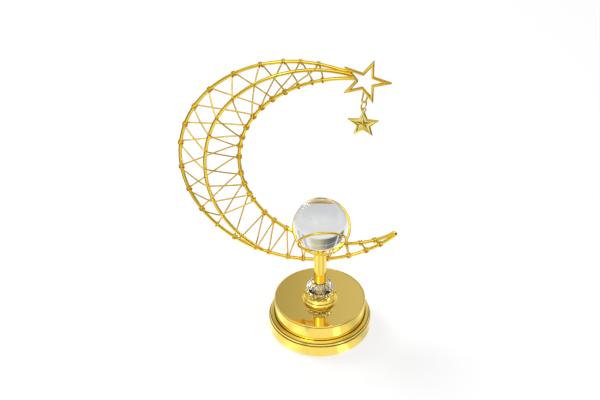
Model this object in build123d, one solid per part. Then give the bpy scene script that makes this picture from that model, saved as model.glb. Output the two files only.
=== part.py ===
from build123d import *
from math import acos, asin, atan2, cos, degrees, pi, radians, sin, sqrt
import os

# A table ornament: a crescent of three laced rods with a star, on a turned base.
# Millimetres. Origin: centre of the base's underside. +Z up, the crescent lies along X,
# and the viewer stands at -Y. The crescent's rods lie behind the post.

# Fits
TOUCH = 0.05            # gap between pieces that are soldered or clamped together
RUNNING_GAP = 0.3       # gap between pieces that move on each other

# Base
FLANGE_R = 49.0
FLANGE_H = 12.4
FLANGE_ROUND = 1.6
SHOULDER_STEP = 0.8     # width of the sharp step under the shoulder bead
DRUM_R = 43.4
DRUM_FOOT_Z = 16.2
GROOVE = 0.6            # width of the groove between the bead and the drum
RIM_TOP_Z = 33.0
RIM_W = 1.3
DECK_DROP = 1.6         # from the rim's top to the deck under the plate
DECK_T = 1.5
SHELL_T = 1.4
PLATE_T = 1.2
FELT_T = 1.8
FELT_PROUD = 0.3        # the felt stands this far below the shell
BALLAST_ROOM = 3.0      # gap between the weight and the drum's wall
BALLAST_H = 20.0

# Tie rod and its fastenings
ROD_R = 2.5
ROD_HOLE_R = 3.0
ROD_TAIL = 2.0          # rod below the nut
NUT_FLATS = 8.0
NUT_H = 4.0
WASHER_R = 8.0
WASHER_T = 1.2

# Collar, bead and post
COLLAR_R = 17.4
COLLAR_H = 6.0
COLLAR_RIDGE = 1.4      # radius of each of the two ring ridges
COLLAR_DISH = 2.6       # depth of the dish in the collar's top
BEAD_R = 13.3
BEAD_H = 17.4
BEAD_TABLE_R = 7.2      # the flat facets at the bead's two ends
BEAD_BELT = 2.4         # height of the upright facets round the middle
BEAD_SIDES = 12
POST_R = 6.0
POST_WALL = 1.0
CAP_PLUG_H = 8.0
CAP_BOSS_R = 2.6

# Ball and the two rings that hold it
BALL_R = 25.0
BALL_Z = 122.2
RING_WIRE_R = 1.15
FRONT_CAGE_R = 28.3     # radius of the sphere round the ball on which the front ring lies
FRONT_RING_TURN = 12.0  # turn of each ring's axis away from -Y towards +X, degrees
BACK_RING_TURN = 181.0
FRONT_RING_DIP = 30.0   # how far each ring's axis points below the horizontal, degrees
BACK_RING_DIP = 45.0
FRONT_RING_FOOT = 3.9   # how far each ring's lowest point lies in front of the post's axis
BACK_RING_FOOT = 9.0

# Crescent rods
RAIL_R = 1.25
OUTER_R = 111.0
OUTER_LEFT_X = -130.5   # where the outer rod's round part ends at the left and at the bottom
OUTER_LOW_Z = 73.5
OUTER_BEND_END = 250.0  # where the round part ends and the lower horn begins, degrees
INNER_R = 90.5
INNER_LEFT_X = -76.0
INNER_LOW_Z = 95.0
INNER_BEND_START = 130.0
TIP_X = 69.0
TIP_Z = 112.6
FRONT_BEND_R = 94.0
FRONT_BEND = 94.0       # turn of the front rod's upper bend, degrees
FRONT_LEAN = 9.8       # the front rod's plane leans forward by this angle, degrees
FRONT_END = 250.0       # where the front rod's lower end meets the outer rod, degrees
FRONT_LAP = 1.3         # the front rod's upper end laps over the star's face by this much
HORN_RISE = 45.0        # slope of the lower horn at its tip, degrees

# Lacing
WIRE_R = 0.45
LACE_GAP = 0.12
LACE_SIDES = 6
LACE_WIRES = 3          # wires wound side by side, each taking every third crossing
OUTER_FIRST_SHARE = 0.056 # first crossing and step on the outer rod, as shares of its length
OUTER_STEP_SHARE = 0.0438
INNER_FIRST_SHARE = 0.050 # the same on the inner rod
INNER_STEP_SHARE = 0.0361
FRONT_ADVANCE = 4       # a front strand ends this many crossings further on
OUTER_LAST = 17         # last crossings before the post and the ball
INNER_LAST = 18
TIP_FIRST_SHARE = 0.849 # the same for the wire on the lower horn
TIP_STEP_SHARE = 0.037
TIP_CROSSINGS = 4
CLOSE_RODS = 4.0        # nearer than this, a crossing ties the outer and front rods together

# Star and pendant
STAR_TURN = 59.15       # the star's centre lies on the outer rod's circle at this angle, degrees
STAR_R = 23.6
STAR_BAR = 1.9
STAR_DEPTH = 2.6
HANG_LEFT = 1.0         # the pendant hangs this far left of the star's centre
HANG_WIRE_R = 0.5
HANG_GAP = 0.15
EYE_DROP = 22.4         # from the star's centre down to the wire at the bottom of the eye
EYE_BEND_R = 1.7
JUMP_R = 4.0
JUMP_TURN = 60.0        # the jump ring's turn away from the crescent's plane, degrees
PENDANT_R = 14.6
PENDANT_WAIST_R = 6.4
PENDANT_T = 2.4
PENDANT_BAR = 1.7
PENDANT_CORE_R = 8.6
PENDANT_CORE_WAIST_R = 3.3
PENDANT_BRIDGE_W = 1.3
PENDANT_LOOP_R = 2.0
PENDANT_LOOP_SINK = 1.3 # the loop's wire lies this far inside the star's top point

# Solder
SOLDER_R = 2.4

# Worked out from the sizes above
RAIL_Y = POST_R + TOUCH + RAIL_R
OUTER_X = OUTER_LEFT_X + OUTER_R
OUTER_Z = OUTER_LOW_Z + OUTER_R
INNER_X = INNER_LEFT_X + INNER_R
INNER_Z = INNER_LOW_Z + INNER_R
STAR_X = OUTER_X + OUTER_R * cos(radians(STAR_TURN))
STAR_Z = OUTER_Z + OUTER_R * sin(radians(STAR_TURN))
HANG_X = STAR_X - HANG_LEFT
EYE_Z = STAR_Z - EYE_DROP
DECK_Z = RIM_TOP_Z - DECK_DROP
PLATE_TOP_Z = DECK_Z + PLATE_T
BALLAST_TOP_Z = DECK_Z - DECK_T
BALLAST_R = DRUM_R - SHELL_T - BALLAST_ROOM
WASHER_TOP_Z = BALLAST_TOP_Z - BALLAST_H
NUT_TOP_Z = WASHER_TOP_Z - WASHER_T
NUT_BOTTOM_Z = NUT_TOP_Z - NUT_H
DISH_Z = PLATE_TOP_Z + COLLAR_H - COLLAR_DISH
BEAD_Z = DISH_Z + BEAD_H / 2
POST_Z = DISH_Z + BEAD_H
BACK_CAGE_R = FRONT_CAGE_R + 2 * RING_WIRE_R + TOUCH
FRONT_RING_SPREAD = degrees(acos(FRONT_RING_FOOT / FRONT_CAGE_R)) - FRONT_RING_DIP
BACK_RING_SPREAD = 180 - degrees(acos(BACK_RING_FOOT / BACK_CAGE_R)) - BACK_RING_DIP
RING_FOOT_Z = BALL_Z - sqrt(FRONT_CAGE_R ** 2 - FRONT_RING_FOOT ** 2)
POST_TOP_Z = RING_FOOT_Z - RING_WIRE_R - TOUCH
POST_H = POST_TOP_Z - POST_Z
WRAP = RAIL_R + WIRE_R + LACE_GAP
FRONT = Vector(0, -1, 0)
BACK = Vector(0, 1, 0)
BALL_C = Vector(0, 0, BALL_Z)


def profile_turn(outline):
    """Turn a closed outline, drawn as radius and height, round the Z axis."""
    return revolve(Plane.XZ * make_face(outline), Axis.Z)


def ring_disc(radius, bore, height, z):
    """A flat disc with a central hole, standing on height z."""
    disc = Cylinder(radius, height, align=(Align.CENTER, Align.CENTER, Align.MIN))
    hole = Cylinder(bore, 3 * height)
    return Pos(0, 0, z) * (disc - hole)


def tube_along(path, radius, sides=0):
    """A round rod, or one with flat sides, along a path of lines and arcs."""
    start = Plane(origin=path @ 0, z_dir=path % 0)
    section = RegularPolygon(radius, sides) if sides else Circle(radius)
    return sweep(start * section, path=path)


def point_on_circle(x, z, radius, angle):
    """A point of the crescent's plane, on a circle about x, z."""
    return Vector(x + radius * cos(radians(angle)), RAIL_Y, z + radius * sin(radians(angle)))


def arc_into(start, curve):
    """An arc from a start point that runs smoothly into the beginning of a curve."""
    reverse = TangentArc(curve @ 0, start, tangent=(curve % 0) * -1)
    return ThreePointArc(start, reverse @ 0.5, curve @ 0)


def arc_between(x, z, radius, start, end):
    """An arc of the crescent's plane from one angle to another."""
    middle = (start + end) / 2
    return ThreePointArc(
        point_on_circle(x, z, radius, start),
        point_on_circle(x, z, radius, middle),
        point_on_circle(x, z, radius, end),
    )


# Star geometry, shared by the star and by what ends on it


def star_points(radius, waist, turn, x=0.0, y=0.0):
    """Corners of a five-pointed star, tips and waists in turn."""
    points = []
    for corner in range(10):
        reach = waist if corner % 2 else radius
        angle = radians(turn + 36 * corner)
        points.append((x + reach * cos(angle), y + reach * sin(angle)))
    return points


STAR_WAIST_R = STAR_R * sin(radians(18)) / cos(radians(36))


def star_corner(corner):
    """A corner of the big star's outline, counted from the tip that points along +X."""
    x, z = star_points(STAR_R, STAR_WAIST_R, 0, STAR_X, STAR_Z)[corner % 10]
    return Vector(x, RAIL_Y, z)


def on_star_bar(first, second, share):
    """A point inside the bar between two neighbouring corners of the big star."""
    edge = star_corner(second) - star_corner(first)
    inwards = (Vector(STAR_X, RAIL_Y, STAR_Z) - star_corner(first)).normalized()
    across = (inwards - edge.normalized() * inwards.dot(edge.normalized())).normalized()
    return star_corner(first) + edge * share + across * (STAR_BAR / 2)


def star_outline_face(radius, waist, turn, x=0.0, y=0.0):
    """Flat five-pointed star."""
    return make_face(Polyline(star_points(radius, waist, turn, x, y), close=True))


# Paths of the crescent's rods


RAIL_PITCH = 2 * RAIL_R + TOUCH
TIP = Vector(TIP_X, RAIL_Y, TIP_Z)
TIP_SIDE = Vector(-sin(radians(HORN_RISE)), 0, cos(radians(HORN_RISE))) * (RAIL_PITCH / 2)
OUTER_TIP = TIP - TIP_SIDE
INNER_TIP = TIP + TIP_SIDE
OUTER_TOP = on_star_bar(4, 5, 0.38)
FRONT_TOP = on_star_bar(4, 5, 0.60) + FRONT * FRONT_LAP
INNER_TOP = on_star_bar(4, 5, 0.88)


def outer_path():
    """From the star round the back of the crescent to its lower tip."""
    top = OUTER_TOP - Vector(OUTER_X, RAIL_Y, OUTER_Z)
    bend_start = degrees(atan2(top.Z, top.X)) + 6
    bend = arc_between(OUTER_X, OUTER_Z, OUTER_R, bend_start, OUTER_BEND_END)
    upper = arc_into(OUTER_TOP, bend)
    lower = TangentArc(bend @ 1, OUTER_TIP, tangent=bend % 1)
    return Wire([upper, bend, lower])


def inner_path():
    """From the star round the hollow of the crescent to its lower tip."""
    tip = INNER_TIP - Vector(INNER_X, RAIL_Y, INNER_Z)
    bend_end = degrees(atan2(tip.Z, tip.X)) + 360 - 6
    bend = arc_between(INNER_X, INNER_Z, INNER_R, INNER_BEND_START, bend_end)
    upper = arc_into(INNER_TOP, bend)
    lower = TangentArc(bend @ 1, INNER_TIP, tangent=bend % 1)
    return Wire([upper, bend, lower])


def front_seat():
    """Centre of the front rod's lower end, resting on the outer rod's inner front side."""
    under = point_on_circle(OUTER_X, OUTER_Z, OUTER_R, FRONT_END)
    inwards = (Vector(OUTER_X, RAIL_Y, OUTER_Z) - under).normalized()
    return under + (inwards + FRONT).normalized() * RAIL_PITCH


def front_path():
    """The bowed front rod, in a plane that leans forward about the line of its two ends."""
    top, end = FRONT_TOP, front_seat()
    half = (top - end).length / 2
    up = (top - end).normalized()
    level = BACK.cross(up).normalized()
    level = level if level.X > 0 else level * -1
    behind = up.cross(level)
    behind = behind if behind.Y > 0 else behind * -1
    lean = radians(FRONT_LEAN)
    across = level * cos(lean) + behind * sin(lean)
    middle = (top + end) * 0.5

    def place(u, v):
        return middle + across * u + up * v

    centre_v = half - FRONT_BEND_R
    turned = radians(90 + FRONT_BEND)
    halfway = radians(90 + FRONT_BEND / 2)
    bend = ThreePointArc(
        top,
        place(FRONT_BEND_R * cos(halfway), centre_v + FRONT_BEND_R * sin(halfway)),
        place(FRONT_BEND_R * cos(turned), centre_v + FRONT_BEND_R * sin(turned)),
    )
    lower = TangentArc(bend @ 1, end, tangent=bend % 1)
    return Wire([bend, lower])


OUTER_WIRE = outer_path()
INNER_WIRE = inner_path()
FRONT_WIRE = front_path()


def rail_to_star(path, star):
    """A rod along its path, trimmed where it meets the star."""
    rod = tube_along(path, RAIL_R) - star
    return max(rod.solids(), key=lambda solid: solid.volume)


# Base


def base_shell():
    """Spun shell: flange, stepped shoulder bead, drum and rolled rim, open below."""
    bead_r = FLANGE_R - SHOULDER_STEP
    bead_in = DRUM_R + GROOVE
    bead_mid = (bead_in + (bead_r - bead_in) * 0.78, FLANGE_H + (DRUM_FOOT_Z - FLANGE_H) * 0.72)
    rim_in = DRUM_R - RIM_W
    inner_drum = DRUM_R - SHELL_T
    inner_flange = FLANGE_R - SHELL_T
    outline = [
        Line((inner_flange, FELT_PROUD), (FLANGE_R - FLANGE_ROUND / 2, FELT_PROUD)),
        Line((FLANGE_R - FLANGE_ROUND / 2, FELT_PROUD), (FLANGE_R, FELT_PROUD + FLANGE_ROUND)),
        Line((FLANGE_R, FELT_PROUD + FLANGE_ROUND), (FLANGE_R, FLANGE_H - FLANGE_ROUND)),
        Line((FLANGE_R, FLANGE_H - FLANGE_ROUND), (bead_r, FLANGE_H)),
        ThreePointArc((bead_r, FLANGE_H), bead_mid, (bead_in, DRUM_FOOT_Z)),
        Line((bead_in, DRUM_FOOT_Z), (DRUM_R, DRUM_FOOT_Z)),
        Line((DRUM_R, DRUM_FOOT_Z), (DRUM_R, RIM_TOP_Z - RIM_W / 2)),
        ThreePointArc(
            (DRUM_R, RIM_TOP_Z - RIM_W / 2),
            (DRUM_R - RIM_W / 2, RIM_TOP_Z),
            (rim_in, RIM_TOP_Z - RIM_W / 2),
        ),
        Line((rim_in, RIM_TOP_Z - RIM_W / 2), (rim_in, DECK_Z)),
        Line((rim_in, DECK_Z), (ROD_HOLE_R, DECK_Z)),
        Line((ROD_HOLE_R, DECK_Z), (ROD_HOLE_R, BALLAST_TOP_Z)),
        Line((ROD_HOLE_R, BALLAST_TOP_Z), (inner_drum, BALLAST_TOP_Z)),
        Line((inner_drum, BALLAST_TOP_Z), (inner_drum, FLANGE_H - SHELL_T)),
        Line((inner_drum, FLANGE_H - SHELL_T), (inner_flange, FLANGE_H - SHELL_T)),
        Line((inner_flange, FLANGE_H - SHELL_T), (inner_flange, FELT_PROUD)),
    ]
    return profile_turn(outline)


def top_disc():
    """Mirror plate lying on the deck inside the rim."""
    return ring_disc(DRUM_R - RIM_W - TOUCH, ROD_HOLE_R, PLATE_T, DECK_Z)


def ballast_weight():
    """Cast weight clamped under the deck."""
    return ring_disc(BALLAST_R, ROD_HOLE_R, BALLAST_H, WASHER_TOP_Z)


def base_washer():
    """Washer under the weight."""
    return ring_disc(WASHER_R, ROD_R + 2 * TOUCH, WASHER_T, NUT_TOP_Z)


def base_nut():
    """Hexagon nut on the tie rod."""
    hexagon = RegularPolygon(NUT_FLATS / 2, 6, major_radius=False)
    nut = extrude(hexagon - Circle(ROD_R + TOUCH), NUT_H)
    return Pos(0, 0, NUT_BOTTOM_Z) * nut


def felt_pad():
    """Pad that closes the underside, and on which the ornament stands."""
    inside = FLANGE_R - SHELL_T - TOUCH
    return Cylinder(inside, FELT_T, align=(Align.CENTER, Align.CENTER, Align.MIN))


def tie_rod():
    """Threaded rod from the nut up into the post cap."""
    length = POST_TOP_Z - TOUCH - NUT_BOTTOM_Z + ROD_TAIL
    rod = Cylinder(ROD_R, length, align=(Align.CENTER, Align.CENTER, Align.MIN))
    return Pos(0, 0, NUT_BOTTOM_Z - ROD_TAIL) * rod


# Collar, bead and post


def base_collar():
    """Turned collar with two ring ridges and a dish for the bead."""
    low, high = PLATE_TOP_Z, PLATE_TOP_Z + COLLAR_H
    core = COLLAR_R - COLLAR_RIDGE
    waist = low + COLLAR_H / 2
    lip = BEAD_R + 0.6 * COLLAR_RIDGE
    outline = [
        Line((ROD_HOLE_R, low), (core, low)),
        ThreePointArc((core, low), (COLLAR_R, (low + waist) / 2), (core, waist)),
        ThreePointArc(
            (core, waist),
            (COLLAR_R - COLLAR_RIDGE * 0.35, (waist + high) / 2),
            (lip, high),
        ),
        ThreePointArc(
            (lip, high),
            ((lip + BEAD_TABLE_R) / 2, DISH_Z + COLLAR_DISH * 0.28),
            (BEAD_TABLE_R, DISH_Z),
        ),
        Line((BEAD_TABLE_R, DISH_Z), (ROD_HOLE_R, DISH_Z)),
        Line((ROD_HOLE_R, DISH_Z), (ROD_HOLE_R, low)),
    ]
    return profile_turn(outline) - crystal_bead()


def bead_ring(radius, z, offset):
    """Corners of one level of the bead, turned by a share of a side."""
    step = 2 * pi / BEAD_SIDES
    angles = [step * (side + offset) for side in range(BEAD_SIDES)]
    return [Vector(radius * cos(a), radius * sin(a), z) for a in angles]


def crystal_bead():
    """Faceted rondelle: kite rows above and below a belt of upright facets, bored through."""
    low = BEAD_Z - BEAD_H / 2
    levels = [
        bead_ring(BEAD_TABLE_R, low, 0.5),
        bead_ring(BEAD_R, BEAD_Z - BEAD_BELT / 2, 0),
        bead_ring(BEAD_R, BEAD_Z + BEAD_BELT / 2, 0),
        bead_ring(BEAD_TABLE_R, low + BEAD_H, 0.5),
    ]
    faces = [Face(Wire.make_polygon(levels[0])), Face(Wire.make_polygon(levels[3]))]
    for side in range(BEAD_SIDES):
        after = (side + 1) % BEAD_SIDES
        before = (side - 1) % BEAD_SIDES
        faces.append(Face(Wire.make_polygon(
            [levels[1][side], levels[1][after], levels[2][after], levels[2][side]])))
        for belt, table in ((levels[1], levels[0]), (levels[2], levels[3])):
            faces.append(Face(Wire.make_polygon([belt[side], belt[after], table[side]])))
            faces.append(Face(Wire.make_polygon([table[before], table[side], belt[side]])))
    bead = Solid(Shell(faces))
    bore = Pos(0, 0, BEAD_Z) * Cylinder(ROD_HOLE_R, 2 * BEAD_H)
    return bead - bore


def post_tube():
    """Polished tube standing on the bead."""
    return ring_disc(POST_R, POST_R - POST_WALL, POST_H, POST_Z)


def post_cap():
    """Plug in the top of the post: threaded for the rod, with a dished boss for the ball."""
    plug = ring_disc(POST_R - POST_WALL - TOUCH, ROD_R + TOUCH, CAP_PLUG_H, POST_TOP_Z - CAP_PLUG_H)
    boss_h = BALL_Z - BALL_R + RUNNING_GAP - POST_TOP_Z + 1
    boss = Cylinder(CAP_BOSS_R, boss_h, align=(Align.CENTER, Align.CENTER, Align.MIN))
    boss = Pos(0, 0, POST_TOP_Z) * boss
    return (plug + boss) - Pos(*BALL_C) * Sphere(BALL_R + RUNNING_GAP)


# Ball and cradle


def crystal_ball():
    """Glass ball resting on the boss of the cap."""
    return Pos(*BALL_C) * Sphere(BALL_R)


def cradle_ring(turn, dip, spread, cage):
    """Wire ring round the ball, its wire on a sphere about the ball's centre."""
    heading, fall, wide = radians(turn), radians(dip), radians(spread)
    axis = Vector(sin(heading) * cos(fall), -cos(heading) * cos(fall), -sin(fall))
    plane = Plane(origin=BALL_C + axis * (cage * cos(wide)), z_dir=axis)
    return plane * Torus(cage * sin(wide), RING_WIRE_R)


# Lacing


def at_share(path, share):
    """The point at a share of a path's length."""
    return path.position_at(share * path.length, position_mode=PositionMode.LENGTH)


def into_hollow(path, share):
    """Direction across a rod, in the crescent's plane, towards the crescent's hollow."""
    along = path.tangent_at(share * path.length, position_mode=PositionMode.LENGTH)
    return Vector(-along.Z, 0, along.X)


FRONT_SAMPLES = [at_share(FRONT_WIRE, step / 400) for step in range(401)]


def outer_wrap(share):
    """Two corners of a wire round the outer rod, behind and in front, wide where rods are close."""
    point = at_share(OUTER_WIRE, share)
    side = into_hollow(OUTER_WIRE, share) * -WRAP
    near = min(FRONT_SAMPLES, key=lambda sample: (sample - point).length)
    reach = WRAP
    if (near - point).length < CLOSE_RODS:
        reach = max(WRAP, point.Y - near.Y + WRAP)
    return [point + side + BACK * WRAP, point + side + FRONT * reach]


def inner_wrap(share):
    """Two corners of a wire round the inner rod, in front and behind."""
    point = at_share(INNER_WIRE, share)
    side = into_hollow(INNER_WIRE, share) * WRAP
    return [point + side + FRONT * WRAP, point + side + BACK * WRAP]


def over_front_rod(start, end):
    """The corner of a taut wire where it bends over the front rod, as a list of one or none."""
    ways = [(point - start).length + (point - end).length for point in FRONT_SAMPLES]
    place = ways.index(min(ways))
    point = FRONT_SAMPLES[place]
    if place > 395 or (point - start).length < CLOSE_RODS:
        return []
    along = (FRONT_SAMPLES[place + 1] - FRONT_SAMPLES[place - 1]).normalized()
    corner = point
    for _ in range(8):
        to_start = (start - corner) - along * (start - corner).dot(along)
        to_end = (end - corner) - along * (end - corner).dot(along)
        outwards = (to_start.normalized() + to_end.normalized()) * -1
        half_turn = radians(to_start.get_angle(to_end) / 2)
        corner = point + outwards.normalized() * (WRAP / sin(half_turn))
    return [corner]


def main_corners(wire):
    """Corners of one of the wires wound side by side, from the star towards the post."""
    corners = inner_wrap(INNER_FIRST_SHARE + INNER_STEP_SHARE * (wire + 1))
    for outer in range(wire, OUTER_LAST + 1, LACE_WIRES):
        corners += outer_wrap(OUTER_FIRST_SHARE + OUTER_STEP_SHARE * outer)
        inner = outer + FRONT_ADVANCE
        if inner <= INNER_LAST:
            landing = inner_wrap(INNER_FIRST_SHARE + INNER_STEP_SHARE * inner)
            corners += over_front_rod(corners[-1], landing[0]) + landing
    return corners


def tip_corners():
    """Corners of the wire wound round the two rods of the lower horn."""
    corners = []
    for crossing in range(TIP_CROSSINGS):
        share = TIP_FIRST_SHARE + TIP_STEP_SHARE * crossing
        corners += outer_wrap(share)
        if crossing < TIP_CROSSINGS - 1:
            corners += inner_wrap(share + TIP_STEP_SHARE / 2)
    return corners


def wound_path(corners):
    """One unbroken run of straight lengths and bends through the corners."""
    return FilletPolyline(corners, radius=WRAP * 0.85)


def least_gap(path, radius):
    """Least gap of a tube to itself, measured on points along its path."""
    count = int(path.length)
    points = [at_share(path, i / count) for i in range(count + 1)]
    skip = int(5 * WRAP)
    gaps = [(points[i] - other).length for i in range(count) for other in points[i + skip:]]
    return min(gaps) - 2 * radius


# Star, eye, ring and pendant


def star_frame():
    """Open star of mitred strip."""
    inset = STAR_BAR / sin(radians(18))
    hole_r = STAR_R - inset
    hole_waist = STAR_WAIST_R * hole_r / STAR_R
    flat = star_outline_face(STAR_R, STAR_WAIST_R, 0) - star_outline_face(hole_r, hole_waist, 0)
    strip = extrude(flat, STAR_DEPTH / 2, both=True)
    return Pos(STAR_X, RAIL_Y, STAR_Z) * (Rot(90, 0, 0) * strip)


def hanging_eye():
    """Wire bent into a narrow eye, its two ends soldered under the star's lower bar."""
    left = on_star_bar(7, 8, 0.08)
    right = on_star_bar(7, 8, 0.44)
    bend_centre = Vector(HANG_X, RAIL_Y, EYE_Z + EYE_BEND_R)
    corner = bend_centre - Vector(0, 0, 4 * EYE_BEND_R)
    for _ in range(30):
        to_left = (left - corner).normalized()
        to_right = (right - corner).normalized()
        half_open = radians(to_left.get_angle(to_right) / 2)
        corner = bend_centre - (to_left + to_right).normalized() * (EYE_BEND_R / sin(half_open))
    path = FilletPolyline(left, corner, right, radius=EYE_BEND_R)
    eye = tube_along(path, HANG_WIRE_R) - star_frame()
    return max(eye.solids(), key=lambda solid: solid.volume)


def link_drop():
    """Distance between the wire centres of two links that hang in each other."""
    return 2 * HANG_WIRE_R + HANG_GAP


def jump_ring():
    """Round wire ring hanging in the eye."""
    centre = Vector(HANG_X, RAIL_Y, EYE_Z + link_drop() - JUMP_R)
    turn = radians(JUMP_TURN)
    plane = Plane(origin=centre, z_dir=(-sin(turn), cos(turn), 0))
    return plane * Torus(JUMP_R, HANG_WIRE_R)


def pendant_star():
    """Cast openwork star: a frame, a ridged core star on five bridges, and a loop."""
    jump_bottom_z = EYE_Z + link_drop() - 2 * JUMP_R
    loop_z = jump_bottom_z + link_drop() - PENDANT_LOOP_R
    star_z = loop_z - PENDANT_LOOP_R + PENDANT_LOOP_SINK - PENDANT_R
    hole_share = 1 - PENDANT_BAR / (PENDANT_WAIST_R * sin(radians(54)))
    outer = star_outline_face(PENDANT_R, PENDANT_WAIST_R, 90)
    hole = star_outline_face(PENDANT_R * hole_share, PENDANT_WAIST_R * hole_share, 90)
    cast = extrude(outer - hole, PENDANT_T / 2, both=True)
    core = star_outline_face(PENDANT_CORE_R, PENDANT_CORE_WAIST_R, 90)
    cast += extrude(core, PENDANT_T / 4, both=True)
    cast += loft([Pos(0, 0, PENDANT_T / 4) * core.face(), Vertex(0, 0, PENDANT_T * 0.7)], ruled=True)
    reach = PENDANT_WAIST_R * (1 + hole_share) / 2
    for arm in range(5):
        bridge = Pos(reach / 2, 0, 0) * Box(reach, PENDANT_BRIDGE_W, PENDANT_T / 3)
        cast += Rot(0, 0, 54 + 72 * arm) * bridge
    cast = Pos(HANG_X, RAIL_Y, star_z) * (Rot(90, 0, 0) * cast)
    loop = Pos(HANG_X, RAIL_Y, loop_z) * (Rot(90, 0, 0) * Torus(PENDANT_LOOP_R, HANG_WIRE_R))
    return cast + loop


# Solder


def solder_drop(centre, radius, *pieces):
    """A drop of solder round a joint, with the joined pieces cut out of it."""
    drop = Pos(*centre) * Sphere(radius)
    for piece in pieces:
        drop -= piece
    return max(drop.solids(), key=lambda solid: solid.volume)


def post_solder():
    """Solder between the outer rod and the back of the post."""
    behind = [at_share(OUTER_WIRE, 0.7 + 0.3 * step / 600) for step in range(601)]
    crossing = min(behind, key=lambda point: abs(point.X))
    centre = crossing + FRONT * (RAIL_R * 0.55)
    post = Pos(0, 0, crossing.Z) * Cylinder(POST_R, 8 * SOLDER_R)
    return solder_drop(centre, SOLDER_R, post, outer_rail)


def tip_solder():
    """Solder that closes the lower tip over the ends of two rods."""
    along = Vector(cos(radians(HORN_RISE)), 0, sin(radians(HORN_RISE)))
    return solder_drop(TIP - along * (RAIL_R / 2), SOLDER_R * 1.2, outer_rail, inner_rail)


def front_rail_solder():
    """Solder over the front rod's lower end, on the outer rod."""
    under = point_on_circle(OUTER_X, OUTER_Z, OUTER_R, FRONT_END)
    centre = (under + front_seat()) * 0.5 + (FRONT_WIRE % 1) * (RAIL_R / 2)
    return solder_drop(centre, SOLDER_R * 1.15, outer_rail, front_rail)


def cradle_solder():
    """Solder that joins the feet of both rings to the front of the post's rim."""
    heading = radians(FRONT_RING_TURN / 2)
    reach = (FRONT_RING_FOOT + BACK_RING_FOOT) / 2
    centre = Vector(reach * sin(heading), -reach * cos(heading), POST_TOP_Z)
    return solder_drop(centre, SOLDER_R * 1.2, pieces["post_tube"], pieces["post_cap"], ring_front, ring_back)


os.makedirs("parts", exist_ok=True)

star = star_frame()
outer_rail = rail_to_star(OUTER_WIRE, star)
inner_rail = rail_to_star(INNER_WIRE, star)
front_rail = rail_to_star(FRONT_WIRE, star)
ring_front = cradle_ring(FRONT_RING_TURN, FRONT_RING_DIP, FRONT_RING_SPREAD, FRONT_CAGE_R)
ring_back = cradle_ring(BACK_RING_TURN, BACK_RING_DIP, BACK_RING_SPREAD, BACK_CAGE_R)

wires = {
    "lacing_wire_first": wound_path(main_corners(0)),
    "lacing_wire_second": wound_path(main_corners(1)),
    "lacing_wire_third": wound_path(main_corners(2)),
    "lacing_wire_tip": wound_path(tip_corners()),
}
for name, path in wires.items():
    print("least gap of", name, "to itself:", round(least_gap(path, WIRE_R), 2))

pieces = {
    "base_shell": base_shell(),
    "top_disc": top_disc(),
    "ballast_weight": ballast_weight(),
    "felt_pad": felt_pad(),
    "tie_rod": tie_rod(),
    "base_washer": base_washer(),
    "base_nut": base_nut(),
    "base_collar": base_collar(),
    "crystal_bead": crystal_bead(),
    "post_tube": post_tube(),
    "post_cap": post_cap(),
    "cradle_ring_front": ring_front,
    "cradle_ring_back": ring_back,
    "crystal_ball": crystal_ball(),
    "outer_rail": outer_rail,
    "inner_rail": inner_rail,
    "front_rail": front_rail,
    "star_frame": star,
    "hanging_eye": hanging_eye(),
    "jump_ring": jump_ring(),
    "pendant_star": pendant_star(),
    "post_solder": post_solder(),
    "tip_solder": tip_solder(),
    "front_rail_solder": front_rail_solder(),
}
pieces["cradle_solder"] = cradle_solder()

for name, path in wires.items():
    pieces[name] = tube_along(path, WIRE_R, LACE_SIDES)

for name, shape in pieces.items():
    export_step(shape, f"parts/{name}.step")
    print(name, len(shape.solids()), round(shape.volume, 1))
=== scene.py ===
import logging
import math
import random
from dataclasses import dataclass
from enum import Enum
from typing import Any, Callable, Iterable, Sequence, Union

import bmesh
import bpy
from bmesh.types import BMesh, BMVert
from bpy.types import ID, ColorRampElements, Material, NodeSocket, NodeTree, Object
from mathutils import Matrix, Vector, noise


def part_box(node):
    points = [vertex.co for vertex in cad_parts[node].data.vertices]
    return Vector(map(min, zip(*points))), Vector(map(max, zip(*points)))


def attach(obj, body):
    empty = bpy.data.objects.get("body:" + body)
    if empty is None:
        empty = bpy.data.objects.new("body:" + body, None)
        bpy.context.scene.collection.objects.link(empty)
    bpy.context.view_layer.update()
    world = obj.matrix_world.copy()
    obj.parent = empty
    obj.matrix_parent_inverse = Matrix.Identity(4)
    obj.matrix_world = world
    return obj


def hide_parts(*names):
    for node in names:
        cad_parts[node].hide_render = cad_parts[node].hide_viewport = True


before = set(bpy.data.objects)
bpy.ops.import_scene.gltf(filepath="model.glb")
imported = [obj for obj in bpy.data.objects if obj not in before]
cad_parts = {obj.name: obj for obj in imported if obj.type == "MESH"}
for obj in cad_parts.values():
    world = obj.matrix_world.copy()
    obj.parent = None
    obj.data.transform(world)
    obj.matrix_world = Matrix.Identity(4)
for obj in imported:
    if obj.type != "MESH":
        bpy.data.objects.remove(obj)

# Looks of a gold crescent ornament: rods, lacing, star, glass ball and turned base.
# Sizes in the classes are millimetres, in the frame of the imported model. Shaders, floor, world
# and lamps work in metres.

MM = 0.001
LOG = logging.getLogger("crescent")
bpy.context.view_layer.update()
FRONT = Vector((0, -1, 0))
BACK = Vector((0, 1, 0))
RIGHT = Vector((1, 0, 0))
UP = Vector((0, 0, 1))
Colour = tuple[float, float, float, float]
Point = tuple[float, float]
Circle = tuple[float, float, float]
Finishes = dict[str, Material]
Value = Union["Sock", float]
WHITE: Colour = (1, 1, 1, 1)
# Tint of the painted shade in the turned grooves of the spun gold
GROOVE_SHADE_TINT: Colour = (0.10, 0.06, 0.01, 1)


# Shader sockets and node sheets


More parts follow.
